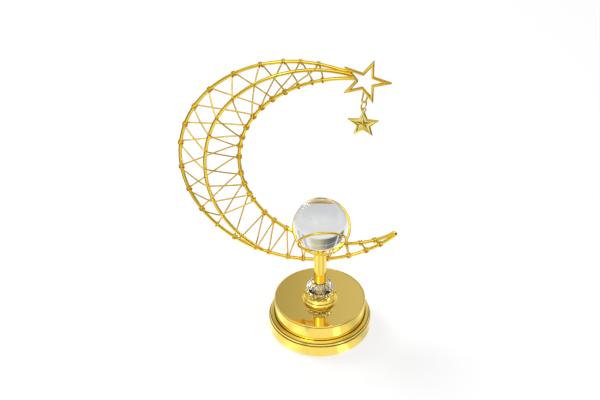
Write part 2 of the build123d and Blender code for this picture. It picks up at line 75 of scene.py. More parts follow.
def operator(operation: str, swapped: bool = False) -> Callable[["Sock", Value], "Sock"]:
    """Method of a socket that adds a Math node.

    Args:
        operation: the node's operation.
        swapped: whether the other value comes first.
    Returns:
        The method, for another socket or a number.
    """
    def apply(sock: "Sock", other: Value) -> "Sock":
        """Value of the node."""
        return sock.sheet.math(operation, *((other, sock) if swapped else (sock, other)))
    return apply


class Sock:
    """A shader socket on which arithmetic adds Math nodes."""

    def __init__(self, sheet: "Sheet", socket: NodeSocket) -> None:
        """Keep the sheet and the socket."""
        self.sheet = sheet
        self.socket = socket

    def math(self, operation: str, *others: Value) -> "Sock":
        """Value of a Math node on this socket and others."""
        return self.sheet.math(operation, self, *others)

    __add__ = __radd__ = operator("ADD")
    __mul__ = __rmul__ = operator("MULTIPLY")
    __sub__, __rsub__ = operator("SUBTRACT"), operator("SUBTRACT", True)
    __truediv__, __rtruediv__ = operator("DIVIDE"), operator("DIVIDE", True)
    most = operator("MAXIMUM")

    def hypot(self, other: "Sock") -> "Sock":
        """Length of two coordinates taken together."""
        return (self * self + other * other).math("POWER", 0.5)

    def step(self, low: float, high: float) -> "Sock":
        """Smooth step from 0 at low to 1 at high."""
        settings = {"interpolation_type": "SMOOTHSTEP"}
        return self.sheet.node("ShaderNodeMapRange", settings, {0: self, 1: low, 2: high})


class Sheet:
    """A node tree of a material or of the world, filled by expressions."""

    def __init__(self, tree: NodeTree) -> None:
        """Empty the tree."""
        self.tree = tree
        tree.nodes.clear()

    def node(self, kind: str, settings: dict[str, Any] | None = None,
             sockets: dict[Any, Any] | None = None, out: int | str = 0) -> Sock:
        """Add a node.

        Args:
            kind: the node's type.
            settings: its own settings, a ramp's stops among them.
            sockets: numbers, colours or sockets by input name or place.
            out: the output that is returned.
        Returns:
            That output.
        """
        made = self.tree.nodes.new(kind)
        for key, value in (settings or {}).items():
            if key == "stops":
                self._stops(made.color_ramp.elements, value)
            else:
                setattr(made, key, value)
        for key, value in (sockets or {}).items():
            if isinstance(value, Sock):
                self.tree.links.new(value.socket, made.inputs[key])
            else:
                made.inputs[key].default_value = value
        return Sock(self, made.outputs[out])

    @staticmethod
    def _stops(elements: ColorRampElements, stops: Sequence[tuple[float, ...]]) -> None:
        """Give a ramp its stops.

        Args:
            elements: the ramp's own stops, two at first.
            stops: places, each with a grey level or with red, green and blue.
        """
        while len(elements) < len(stops):
            elements.new(1.0)
        for element, (place, *tones) in zip(elements, stops):
            element.position = place
            element.color = (*(tones * 3 if len(tones) == 1 else tones), 1)

    def several(self, first: Sock, names: Iterable[str]) -> list[Sock]:
        """Outputs by name of the node that a socket belongs to."""
        return [Sock(self, first.socket.node.outputs[name]) for name in names]

    def math(self, operation: str, *values: Value) -> Sock:
        """Value of a Math node on sockets or numbers, in the node's order."""
        return self.node("ShaderNodeMath", {"operation": operation}, dict(enumerate(values)))

    def place(self) -> Sock:
        """Object coordinates, in metres."""
        return self.node("ShaderNodeTexCoord", out="Object")

    def axes(self, vector: Sock) -> list[Sock]:
        """The three coordinates of a vector."""
        return self.several(self.node("ShaderNodeSeparateXYZ", None, {0: vector}), "XYZ")

    def rays(self) -> tuple[Sock, Sock, Sock]:
        """Tell the rays of camera, mirrors and glass apart.

        Returns:
            A share of 0 or 1 for each of the three.
        """
        camera, glossy, through = self.several(self.node("ShaderNodeLightPath"), (
            "Is Camera Ray", "Is Glossy Ray", "Is Transmission Ray"))
        return camera, glossy * (1 - through), through

    def noise(self, vector: Sock, scale: float, detail: float = 2.0, rough: float = 0.5) -> Sock:
        """Three-way noise about 0.5, with its scale per metre."""
        return self.node("ShaderNodeTexNoise", None,
                         {"Vector": vector, "Scale": scale, "Detail": detail, "Roughness": rough})

    def lines(self, along: Sock, scale: float, detail: float = 3.0) -> Sock:
        """One-way noise about 0.5, which draws lines across a coordinate."""
        return self.node("ShaderNodeTexNoise", {"noise_dimensions": "1D"},
                         {"W": along, "Scale": scale, "Detail": detail, "Roughness": 0.6})

    def blend(self, share: Sock, first: Colour | Sock, second: Colour | Sock) -> Sock:
        """Colour between two colours."""
        return self.node("ShaderNodeMix", {"data_type": "RGBA"}, {0: share, 6: first, 7: second}, 2)

    def ramp(self, share: Sock, stops: Sequence[tuple[float, ...]]) -> Sock:
        """Colour by a share from 0 to 1."""
        return self.node("ShaderNodeValToRGB", {"stops": stops}, {0: share})

    def bump(self, height: Sock, depth: float) -> Sock:
        """Normal of a surface raised by a height times a depth in millimetres."""
        sockets = {"Height": height, "Distance": depth * MM, "Strength": 1.0}
        return self.node("ShaderNodeBump", None, sockets)

    def surface(self, shader: Sock, target: str = "ShaderNodeOutputMaterial") -> None:
        """Join the last shader to the output."""
        self.tree.links.new(shader.socket, self.tree.nodes.new(target).inputs["Surface"])


def new_sheet(name: str) -> tuple[Material, Sheet]:
    """A new material and its empty node sheet.

    Args:
        name: the material's name.
    Returns:
        The material and its sheet.
    """
    material = bpy.data.materials.new(name)
    material.use_nodes = True
    return material, Sheet(material.node_tree)


# Finishes


class Marks(Enum):
    """What the making left on a metal surface."""

    TURNED = "rings round the upright axis"
    DRAWN = "small waves of a bent rod"
    CAST = "grain of a casting"


@dataclass(frozen=True)
class Finish:
    """A procedural finish between two tints."""

    name: str
    bright: Colour
    deep: Colour
    roughness: float

    def inputs(self, sheet: Sheet, place: Sock) -> dict[str, Any]:
        """Inputs of the surface, from object coordinates."""
        raise NotImplementedError

    def material(self) -> Material:
        """Build the material.

        Returns:
            A Principled surface with the finish's inputs.
        """
        material, sheet = new_sheet(self.name)
        inputs = self.inputs(sheet, sheet.place())
        sheet.surface(sheet.node("ShaderNodeBsdfPrincipled", None, inputs))
        return material


@dataclass(frozen=True)
class GoldFinish(Finish):
    """Polished gold plating, with the marks of its making and painted shade in its grooves."""

    uneven: float
    marks: Marks
    depth: float
    grooves: tuple[float, ...] = ()

    # Scales of the noises, per metre
    CLOUD = 90.0
    SMEAR = 420.0
    GRAIN = 2600.0
    RINGS = 1400.0
    WAVES = 260.0
    LUMPS = 900.0
    TINT_FROM = (0.3, 0.72)
    SHADE_REACH = (0.2 * MM, 0.6 * MM)
    SHADE_SHARE = 0.92
    GROOVE_DULL = 0.25
    LEAST_ROUGH = 0.02

    def inputs(self, sheet: Sheet, place: Sock) -> dict[str, Any]:
        """Tint, roughness and normal that vary as the marks say.

        Args:
            sheet: the node sheet.
            place: object coordinates.
        Returns:
            Values and sockets by input name.
        """
        cloud = sheet.noise(place, self.CLOUD, 3.0)
        smear = sheet.noise(place, self.SMEAR, 4.0, 0.6)
        grain = sheet.noise(place, self.GRAIN)
        share = (cloud * 0.7 + smear * 0.3).step(*self.TINT_FROM)
        tint = sheet.blend(share, self.bright, self.deep)
        rough = self.roughness + (smear - 0.5) * self.uneven + (grain - 0.5) * (self.uneven * 0.5)
        normal = sheet.bump(self._height(sheet, place, cloud, grain), self.depth)
        # Painted shade: the base colour is darkened at the grooves' heights, and the roughness is
        # raised there
        if self.grooves:
            groove_shade = self._groove_shade(sheet, place)
            tint = sheet.blend(groove_shade, tint, GROOVE_SHADE_TINT)
            rough = rough + groove_shade * self.GROOVE_DULL
        return {"Base Color": tint, "Metallic": 1.0, "Roughness": rough.most(self.LEAST_ROUGH),
                "Normal": normal}

    def _groove_shade(self, sheet: Sheet, place: Sock) -> Sock:
        """Share of painted shade in the turned grooves, by their heights.

        Args:
            sheet: the node sheet.
            place: object coordinates.
        Returns:
            The share, from 0 to 1.
        """
        height = sheet.axes(place)[2]
        shares = [1 - (height - groove * MM).math("ABSOLUTE").step(*self.SHADE_REACH)
                  for groove in self.grooves]
        groove_shade = shares[0]
        for share in shares[1:]:
            groove_shade = groove_shade.most(share)
        return groove_shade * self.SHADE_SHARE

    def _height(self, sheet: Sheet, place: Sock, cloud: Sock, grain: Sock) -> Sock:
        """Height of the marks, from 0 to about 1.

        Args:
            sheet: the node sheet.
            place: object coordinates.
            cloud: slow noise.
            grain: fine noise.
        Returns:
            The height.
        """
        if self.marks is Marks.TURNED:
            x, y, z = sheet.axes(place)
            rings = sheet.lines(x.hypot(y) + z * 0.6, self.RINGS)
            return rings * 0.12 + cloud * 0.8 + grain * 0.03
        if self.marks is Marks.DRAWN:
            return cloud * 0.55 + sheet.noise(place, self.WAVES) * 0.4 + grain * 0.05
        return sheet.noise(place, self.LUMPS, 3.0) * 0.8 + grain * 0.2


@dataclass(frozen=True)
class MirrorFinish(Finish):
    """Mirror-polished plate with faint polishing rings and scuffs, its tint darker to the left as
    painted shade.
    """

    LEFT_SHADE_SLOPE = 11.0
    RINGS = 2200.0
    HAZE = 60.0
    SCUFFS = 900.0
    SCUFF_FROM = (0.62, 0.8)

    def inputs(self, sheet: Sheet, place: Sock) -> dict[str, Any]:
        """Tint, roughness and normal.

        Args:
            sheet: the node sheet.
            place: object coordinates.
        Returns:
            Values and sockets by input name.
        """
        x, y, _ = sheet.axes(place)
        rings = sheet.lines(x.hypot(y), self.RINGS, 2.0)
        haze = sheet.noise(place, self.HAZE, 3.0)
        scuff = sheet.noise(place, self.SCUFFS, 5.0, 0.7).step(*self.SCUFF_FROM)
        # Painted shade: the tint goes from the deep colour at the left to the bright one at the
        # right
        share = (x * self.LEFT_SHADE_SLOPE + 0.5 + (haze - 0.5) * 0.3).step(0.0, 1.0)
        return {"Base Color": sheet.blend(share, self.deep, self.bright), "Metallic": 1.0,
                "Roughness": self.roughness + haze * 0.015 + scuff * 0.05 + rings * 0.01,
                "Normal": sheet.bump(rings * 0.02 + haze * 0.5, 0.02)}


@dataclass(frozen=True)
class GlassFinish(Finish):
    """Clear polished glass, smeared here and there up to its roughness."""

    ior: float
    silver: float = 0.0

    SMEAR = 380.0
    CLOUD = 40.0
    CLEAN = 0.45

    def inputs(self, sheet: Sheet, place: Sock) -> dict[str, Any]:
        """Tint, roughness and glass.

        Args:
            sheet: the node sheet.
            place: object coordinates.
        Returns:
            Values and sockets by input name.
        """
        smear = sheet.noise(place, self.SMEAR, 4.0, 0.6)
        cloud = sheet.noise(place, self.CLOUD)
        return {"Base Color": sheet.blend(cloud, self.bright, self.deep),
                "Roughness": (smear - self.CLEAN).most(0.0) * self.roughness, "IOR": self.ior,
                "Transmission Weight": 1.0, "Metallic": self.silver}


@dataclass(frozen=True)
class PlainFinish(Finish):
    """Felt, iron and steel: the pieces inside and under the base."""

    metallic: float
    scale: float
    depth: float

    BROADER = 8
    TINT_FROM = (0.3, 0.7)
    UNEVEN = 0.2

    def inputs(self, sheet: Sheet, place: Sock) -> dict[str, Any]:
        """Tint, roughness and normal.

        Args:
            sheet: the node sheet.
            place: object coordinates.
        Returns:
            Values and sockets by input name.
        """
        fine = sheet.noise(place, self.scale, 5.0, 0.65)
        broad = sheet.noise(place, self.scale / self.BROADER)
        share = (fine * 0.7 + broad * 0.3).step(*self.TINT_FROM)
        return {"Base Color": sheet.blend(share, self.deep, self.bright),
                "Metallic": self.metallic,
                "Roughness": self.roughness + (fine - 0.5) * self.UNEVEN,
                "Normal": sheet.bump(fine, self.depth)}


def make_finishes() -> Finishes:
    """Make every finish once.

    Returns:
        The materials by name.
    """
    table = (
        # The last numbers of spun_gold are the heights of the grooves that get painted shade
        GoldFinish("spun_gold", (1.0, 0.77, 0.17, 1), (0.98, 0.71, 0.12, 1), 0.06, 0.04,
                   Marks.TURNED, 0.05, (12.4, 15.1, 31.38, 35.65)),
        GoldFinish("rod_gold", (1.0, 0.74, 0.08, 1), (0.95, 0.62, 0.045, 1), 0.12, 0.10,
                   Marks.DRAWN, 0.09),
        GoldFinish("wire_gold", (0.97, 0.68, 0.07, 1), (0.84, 0.53, 0.04, 1), 0.20, 0.12,
                   Marks.DRAWN, 0.07),
        GoldFinish("star_gold", (1.0, 0.66, 0.07, 1), (0.93, 0.56, 0.05, 1), 0.13, 0.08,
                   Marks.DRAWN, 0.05),
        GoldFinish("cast_gold", (1.0, 0.80, 0.17, 1), (0.98, 0.70, 0.10, 1), 0.22, 0.10,
                   Marks.CAST, 0.03),
        # mirror_gold: its deep tint is painted shade on the plate's left
        MirrorFinish("mirror_gold", (1.0, 0.74, 0.20, 1), (0.88, 0.62, 0.14, 1), 0.05),
        GlassFinish("ball_glass", WHITE, (0.97, 0.98, 0.99, 1), 0.02, 1.47),
        GlassFinish("bead_crystal", (0.94, 0.90, 0.80, 1), (0.84, 0.79, 0.66, 1), 0.03, 1.75, 0.12),
        PlainFinish("felt", (0.05, 0.05, 0.055, 1), (0.015, 0.015, 0.017, 1), 0.9, 0.0, 3000.0,
                    0.3),
        PlainFinish("weight_iron", (0.22, 0.22, 0.23, 1), (0.07, 0.065, 0.06, 1), 0.6, 0.9, 700.0,
                    0.25),
        PlainFinish("zinc_steel", (0.86, 0.86, 0.88, 1), (0.70, 0.70, 0.72, 1), 0.3, 1.0, 1500.0,
                    0.02),
    )
    return {finish.name: finish.material() for finish in table}


# Points


def spread(first: float, last: float, count: int) -> list[float]:
    """Even values from the first to the last, both included."""
    return [first + (last - first) * i / count for i in range(count + 1)]


def full_turn(count: int, offset: float = 0.0) -> list[float]:
    """Even angles of one turn, the first shifted by a share of a step."""
    return [2 * math.pi * (i + offset) / count for i in range(count)]


def arc(centre: Vector, one: Vector, two: Vector, radius: float,
        angles: Iterable[float]) -> list[Vector]:
    """Points round a centre, at angles from one direction towards another."""
    return [centre + one * (radius * math.cos(a)) + two * (radius * math.sin(a)) for a in angles]


def polar(x: float, y: float, z: float, radius: float, angle: float) -> Vector:
    """Point at a radius round another, at an angle in degrees from +X towards +Z."""
    turn = math.radians(angle)
    return Vector((x + radius * math.cos(turn), y, z + radius * math.sin(turn)))


def heading(angle: float) -> Vector:
    """Direction in the crescent's plane, at an angle in degrees from +X towards +Z."""
    return polar(0, 0, 0, 1, angle)


def bow(start: Vector, way: Vector, end: Vector, steps: int) -> list[Vector]:
    """Points of the arc that leaves a point along a heading and ends at another point.

    Args:
        start: where it starts.
        way: its heading there.
        end: where it ends.
        steps: lengths along it.
    Returns:
        Its points, both ends included.
    """
    way = way.normalized()
    across = end - start
    along = across.dot(way)
    sidewards = across - way * along
    side = sidewards.normalized()
    radius = across.length_squared / (2 * sidewards.length)
    turn = 2 * math.atan2(sidewards.length, along)
    return [start + way * (radius * math.sin(a)) + side * (radius * (1 - math.cos(a)))
            for a in spread(0, turn, steps)]


def rounded(corners: Sequence[tuple[float, float, float]], steps: int = 6) -> list[Point]:
    """Closed outline with its corners rounded.

    A point beside each rounding keeps long flats flat when the turned face is shaded smoothly.

    Args:
        corners: radius, height and rounding of each corner.
        steps: lengths in each rounding.
    Returns:
        The outline's points.
    """
    margin, long, most_of_side = 0.12, 0.8, 0.49
    points: list[Point] = []
    count = len(corners)
    for index, (x, y, fillet) in enumerate(corners):
        if fillet <= 0:
            points.append((x, y))
            continue
        here = Vector((x, y))
        before = Vector(corners[index - 1][:2]) - here
        after = Vector(corners[(index + 1) % count][:2]) - here
        reach = min(fillet / math.tan(before.angle(after) / 2), before.length * most_of_side,
                    after.length * most_of_side)
        start = here + before.normalized() * reach
        end = here + after.normalized() * reach
        if before.length - reach > long:
            points.append(tuple(start + before.normalized() * margin))
        points += [tuple(start * (1 - t) ** 2 + here * (2 * t * (1 - t)) + end * t ** 2)
                   for t in spread(0, 1, steps)]
        if after.length - reach > long:
            points.append(tuple(end + after.normalized() * margin))
    return points


# Meshes


def object_of(name: str, data: ID) -> Object:
    """Put a mesh, a lamp or a camera in the scene as an object at the origin.

    Args:
        name: the object's name.
        data: what it shows.
    Returns:
        The object.
    """
    made = bpy.data.objects.new(name, data)
    bpy.context.scene.collection.objects.link(made)
    return made


def mesh_of(name: str, shape: BMesh, material: Material, smooth_deg: float = 35.0) -> Object:
    """Turn a worked shape in millimetres into an object.

    Args:
        name: the object's name.
        shape: the shape, which is freed.
        material: its finish.
        smooth_deg: edges under this angle shade smoothly.
    Returns:
        The object, with faces outwards.
    """
    bmesh.ops.remove_doubles(shape, verts=shape.verts, dist=1e-5)
    bmesh.ops.recalc_face_normals(shape, faces=shape.faces)
    if shape.calc_volume(signed=True) < 0:
        bmesh.ops.reverse_faces(shape, faces=shape.faces)
    bmesh.ops.scale(shape, vec=(MM, MM, MM), verts=shape.verts)
    mesh = bpy.data.meshes.new(name)
    shape.to_mesh(mesh)
    shape.free()
    mesh.shade_smooth()
    mesh.set_sharp_from_angle(angle=math.radians(smooth_deg))
    mesh.materials.append(material)
    return object_of(name, mesh)


def corners_of(shape: BMesh, points: Iterable[Vector]) -> list[BMVert]:
    """Add points to a shape."""
    return [shape.verts.new(point) for point in points]


def skin(shape: BMesh, rings: Sequence[Sequence[BMVert]], closed: bool = True) -> None:
    """Fill the bands between neighbouring rings.

    Args:
        shape: the shape that gets the faces.
        rings: corners of each ring; a ring may be one corner many times.
        closed: whether the last ring joins the first.
    """
    count = len(rings[0])
    followers = list(rings[1:]) + (list(rings[:1]) if closed else [])
    for one, two in zip(rings, followers):
        for i in range(count):
            j = (i + 1) % count
            corners = list(dict.fromkeys((one[i], one[j], two[j], two[i])))
            if len(corners) > 2:
                shape.faces.new(corners)


def turned(name: str, outline: Sequence[Point], material: Material, segments: int = 192,
           closed: bool = True) -> Object:
    """Turn an outline of radius and height round the upright axis.

    Args:
        name: the object's name.
        outline: points of the outline.
        material: its finish.
        segments: lengths round the axis.
        closed: whether the outline closes on itself; if not, it ends on the axis.
    Returns:
        The object.
    """
    shape = bmesh.new()
    rings = []
    for radius, height in outline:
        if radius < 1e-6:
            rings.append([shape.verts.new(UP * height)] * segments)
        else:
            points = arc(UP * height, RIGHT, BACK, radius, full_turn(segments))
            rings.append(corners_of(shape, points))
    skin(shape, rings, closed)
    return mesh_of(name, shape, material)


class RodTree:
    """Geometry Nodes tree that draws a round rod along every line of a mesh."""

    INPUTS = {
        "Radius": "Float", "Sides": "Int", "Unevenness": "Float", "Wave": "Float",
        "Seed": "Float", "Finish": "Material"}
    SHARP_DEG = 50.0

    def __init__(self) -> None:
        """Build the tree."""
        self.tree = bpy.data.node_groups.new("round_rod", "GeometryNodeTree")
        face = self.tree.interface
        face.new_socket("Geometry", in_out="INPUT", socket_type="NodeSocketGeometry")
        self.names = {
            name: face.new_socket(name, in_out="INPUT", socket_type=f"NodeSocket{kind}").identifier
            for name, kind in self.INPUTS.items()}
        face.new_socket("Geometry", in_out="OUTPUT", socket_type="NodeSocketGeometry")
        self._fill()

    def _add(self, kind: str, inputs: dict[Any, Any], **settings: Any) -> NodeSocket:
        """Add a node.

        Args:
            kind: the node's type.
            inputs: values or sockets by input name or place.
            settings: its own settings.
        Returns:
            Its first output.
        """
        node = self.tree.nodes.new(kind)
        for key, value in settings.items():
            setattr(node, key, value)
        for key, value in inputs.items():
            if isinstance(value, NodeSocket):
                self.tree.links.new(value, node.inputs[key])
            else:
                node.inputs[key].default_value = value
        return node.outputs[0]

    def _fill(self) -> None:
        """Place the tree's nodes."""
        given = self.tree.nodes.new("NodeGroupInput").outputs
        line = self._add("GeometryNodeMeshToCurve", {"Mesh": given["Geometry"]})
        spot = self._add("GeometryNodeInputPosition", {})
        wave = self._add("ShaderNodeTexNoise", {
            "Vector": spot, "Scale": given["Wave"], "W": given["Seed"]}, noise_dimensions="4D")
        centred = self._add("ShaderNodeMath", {0: wave, 1: 0.5}, operation="SUBTRACT")
        swell = self._add("ShaderNodeMath", {0: centred, 1: given["Unevenness"], 2: 1.0},
                          operation="MULTIPLY_ADD")
        sized = self._add("GeometryNodeSetCurveRadius", {"Curve": line, "Radius": swell})
        section = self._add("GeometryNodeCurvePrimitiveCircle", {
            "Resolution": given["Sides"], "Radius": given["Radius"]})
        swept = self._add("GeometryNodeCurveToMesh", {
            "Curve": sized, "Profile Curve": section, "Fill Caps": True})
        if "Scale" in swept.node.inputs:
            radius = self._add("GeometryNodeInputRadius", {})
            self.tree.links.new(radius, swept.node.inputs["Scale"])
        smooth = self._add("GeometryNodeSetShadeSmooth", {"Geometry": swept})
        real = self._add("GeometryNodeRealizeInstances", {"Geometry": smooth})
        dressed = self._add("GeometryNodeSetMaterial", {
            "Geometry": real, "Material": given["Finish"]})
        self.tree.links.new(dressed, self.tree.nodes.new("NodeGroupOutput").inputs[0])

    def draw(self, name: str, lines: Iterable[Sequence[Vector]], radius: float, finish: Material,
             sides: int = 16, closed: bool = False, uneven: float = 0.0,
             wave: float = 90.0) -> Object:
        """Draw rods along lines.

        Args:
            name: the object's name.
            lines: points of each line, in millimetres.
            radius: the rod's radius.
            finish: its material.
            sides: sides of its section.
            closed: whether each line closes on itself.
            uneven: change of its thickness, as a share.
            wave: how fast the thickness changes along it, per metre.
        Returns:
            One object of plain mesh.
        """
        spots: list[Vector] = []
        edges: list[tuple[int, int]] = []
        for points in lines:
            first = len(spots)
            spots += [point * MM for point in points]
            edges += [(i, i + 1) for i in range(first, len(spots) - 1)]
            if closed:
                edges.append((len(spots) - 1, first))
        mesh = bpy.data.meshes.new(name)
        mesh.from_pydata([tuple(spot) for spot in spots], edges, [])
        made = object_of(name, mesh)
        modifier = made.modifiers.new("rod", "NODES")
        modifier.node_group = self.tree
        values = {"Radius": radius * MM, "Sides": sides, "Unevenness": uneven, "Wave": wave,
                  "Seed": float(len(name)), "Finish": finish}
        for key, value in values.items():
            modifier[self.names[key]] = value
        bpy.context.view_layer.update()
        graph = bpy.context.evaluated_depsgraph_get()
        drawn = bpy.data.meshes.new_from_object(made.evaluated_get(graph))
        made.modifiers.remove(modifier)
        made.data = drawn
        shape = bmesh.new()
        shape.from_mesh(drawn)
        if shape.calc_volume(signed=True) < 0:
            bmesh.ops.reverse_faces(shape, faces=shape.faces)
        shape.to_mesh(drawn)
        shape.free()
        drawn.set_sharp_from_angle(angle=math.radians(self.SHARP_DEG))
        return made


def settle(made: Object, *nodes: str, body: str = "stand", slot: str = "gold_plate") -> None:
    """Hide the solids a piece stands for and hang it on its body.

    Args:
        made: the piece.
        nodes: the solids it stands for.
        body: the body it moves with.
        slot: not used.
    """
    if nodes:
        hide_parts(*nodes)
    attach(made, body)
    LOG.info("piece %s: %d faces, on %s", made.name, len(made.data.polygons), body)


def box_of(node: str) -> tuple[Vector, Vector]:
    """Centre and half lengths of a solid's box, in millimetres."""
    low, high = (Vector(corner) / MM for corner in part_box(node))
    return (low + high) * 0.5, (high - low) * 0.5


def solder(name: str, node: str, centre: Vector, size: Sequence[float], along: Vector,
           finish: Material, seed: float) -> None:
    """Put a drop of solder in the place of a solid.

    Args:
        name: the object's name.
        node: the solid.
        centre: the drop's middle.
        size: its half lengths along, across and in depth.
        along: the direction of its length.
        finish: its material.
        seed: picks its lumps.
    """
    lumps, lump_scale = 0.10, 1.7
    shape = bmesh.new()
    bmesh.ops.create_icosphere(shape, subdivisions=4, radius=1.0)
    way = along.normalized()
    across = BACK.cross(way).normalized()
    for vert in shape.verts:
        lump = 1 + lumps * noise.noise(vert.co * lump_scale + RIGHT * seed)
        x, y, z = vert.co * lump
        vert.co = centre + way * (x * size[0]) + across * (y * size[1]) + BACK * (z * size[2])
    settle(mesh_of(name, shape, finish, smooth_deg=60.0), node)


# Lines of the rods


class RodLine:
    """A rod's centre line, read by share of its length."""

    def __init__(self, points: Sequence[Vector]) -> None:
        """Measure the line.

        Args:
            points: its points, in millimetres.
        """
        self.points = list(points)
        self.lengths = [0.0]
        for before, after in zip(points, points[1:]):
            self.lengths.append(self.lengths[-1] + (after - before).length)

    def at(self, share: float) -> tuple[Vector, Vector]:
        """Point and heading at a share of the length.

        Args:
            share: the share, kept between 0 and 1.
        Returns:
            The point and the unit heading.
        """
        goal = min(max(share, 0.0), 1.0) * self.lengths[-1]
        place = 0
        while place < len(self.points) - 2 and self.lengths[place + 1] < goal:
            place += 1
        span = self.points[place + 1] - self.points[place]
        rest = (goal - self.lengths[place]) / max(span.length, 1e-9)
        return self.points[place] + span * rest, span.normalized()


@dataclass
class StarSize:
    """The open star at the upper horn."""

    x: float = 37.42
    z: float = 279.795
    y: float = 7.3
    radius: float = 23.6
    bar: float = 2.3
    depth: float = 2.6

    def corner(self, index: int, radius: float | None = None) -> Vector:
        """A corner of the outline, counted from the tip along +X.

        Args:
            index: its number; odd ones are waists.
            radius: radius of the tips, if not that of the outline.
        Returns:
            The corner.
        """
        tip = radius or self.radius
        waist = tip * math.sin(math.radians(18)) / math.cos(math.radians(36))
        return polar(self.x, self.y, self.z, waist if index % 2 else tip, 36 * index)

    def on_bar(self, first: int, second: int, share: float) -> Vector:
        """A point in the middle of the bar between two corners.

        Args:
            first: the corner to count from.
            second: the other corner.
            share: how far along.
        Returns:
            The point.
        """
        edge = self.corner(second) - self.corner(first)
        way = edge.normalized()
        inwards = (Vector((self.x, self.y, self.z)) - self.corner(first)).normalized()
        across = (inwards - way * inwards.dot(way)).normalized()
        return self.corner(first) + edge * share + across * (self.bar / 2)


@dataclass
class CrescentLines:
    """Centre lines of the three bent rods."""

    star: StarSize
    rail_r: float = 1.25
    rod_r: float = 1.62
    y: float = 7.3
    outer: Circle = (-19.5, 184.5, 111.0)
    inner: Circle = (14.5, 185.5, 90.5)
    outer_end: float = 250.0
    inner_start: float = 130.0
    tip: Point = (69.0, 112.6)
    rise: float = 45.0
    front_r: float = 94.0
    front_turn: float = 94.0
    front_lean: float = 9.8
    front_lap: float = 1.3
    outer_on_bar: float = 0.38
    front_on_bar: float = 0.60
    inner_on_bar: float = 0.88
    touch: float = 0.05
    eased: float = 6.0
    top_steps: int = 24
    low_steps: int = 70

    def spot(self, circle: Circle, angle: float) -> Vector:
        """A point of a circle in the crescent's plane."""
        x, z, radius = circle
        return polar(x, self.y, z, radius, angle)

    @staticmethod
    def bearing(circle: Circle, goal: Vector) -> float:
        """Angle of a point seen from a circle's centre, in degrees."""
        return math.degrees(math.atan2(goal.z - circle[1], goal.x - circle[0]))

    def _whole(self, top: Vector, circle: Circle, start: float, end: float,
               tip: Vector) -> RodLine:
        """Join a round part smoothly to a rod's two ends.

        Args:
            top: the end at the star.
            circle: centre and radius of the round part.
            start: its first angle.
            end: its last angle.
            tip: the end at the lower tip.
        Returns:
            The rod's line.
        """
        angles = spread(start, end, int(abs(end - start)))
        bend = [self.spot(circle, angle) for angle in angles]
        upper = bow(bend[0], bend[0] - bend[1], top, self.top_steps)[:0:-1]
        lower = bow(bend[-1], bend[-1] - bend[-2], tip, self.low_steps)[1:]
        return RodLine(upper + bend + lower)

    def tips(self) -> tuple[Vector, Vector]:
        """Ends of the outer and the inner rod at the lower tip.

        Returns:
            The outer rod's end and the inner rod's end.
        """
        side = heading(self.rise + 90) * (self.rail_r + self.touch / 2)
        tip = Vector((self.tip[0], self.y, self.tip[1]))
        return tip - side, tip + side

    def outer_line(self) -> RodLine:
        """From the star round the back to the lower tip.

        Returns:
            The rod's line.
        """
        top = self.star.on_bar(4, 5, self.outer_on_bar)
        start = self.bearing(self.outer, top) + self.eased
        return self._whole(top, self.outer, start, self.outer_end, self.tips()[0])

    def inner_line(self) -> RodLine:
        """From the star round the hollow to the lower tip.

        Returns:
            The rod's line.
        """
        top, tip = self.star.on_bar(4, 5, self.inner_on_bar), self.tips()[1]
        end = self.bearing(self.inner, tip) + 360 - self.eased
        return self._whole(top, self.inner, self.inner_start, end, tip)

    def seat(self) -> Vector:
        """Centre of the front rod's lower end, on the outer rod.

        Returns:
            The point.
        """
        under = self.spot(self.outer, self.outer_end)
        inwards = (Vector((self.outer[0], self.y, self.outer[1])) - under).normalized()
        return under + (inwards + FRONT).normalized() * (2 * self.rail_r + self.touch)

    def front_line(self) -> RodLine:
        """The bowed rod in front.

        Returns:
            The rod's line.
        """
        top = self.star.on_bar(4, 5, self.front_on_bar) + FRONT * self.front_lap
        end = self.seat()
        up = (top - end).normalized()
        level = BACK.cross(up).normalized()
        level = level if level.x > 0 else -level
        behind = up.cross(level)
        behind = behind if behind.y > 0 else -behind
        lean = math.radians(self.front_lean)
        across = level * math.cos(lean) + behind * math.sin(lean)
        middle = (top + end) * 0.5 + up * ((top - end).length / 2 - self.front_r)
        turns = spread(90, 90 + self.front_turn, int(self.front_turn))
        bend = arc(middle, across, up, self.front_r, map(math.radians, turns))
        return RodLine(bend + bow(bend[-1], bend[-1] - bend[-2], end, self.low_steps)[1:])


# Sub-assemblies


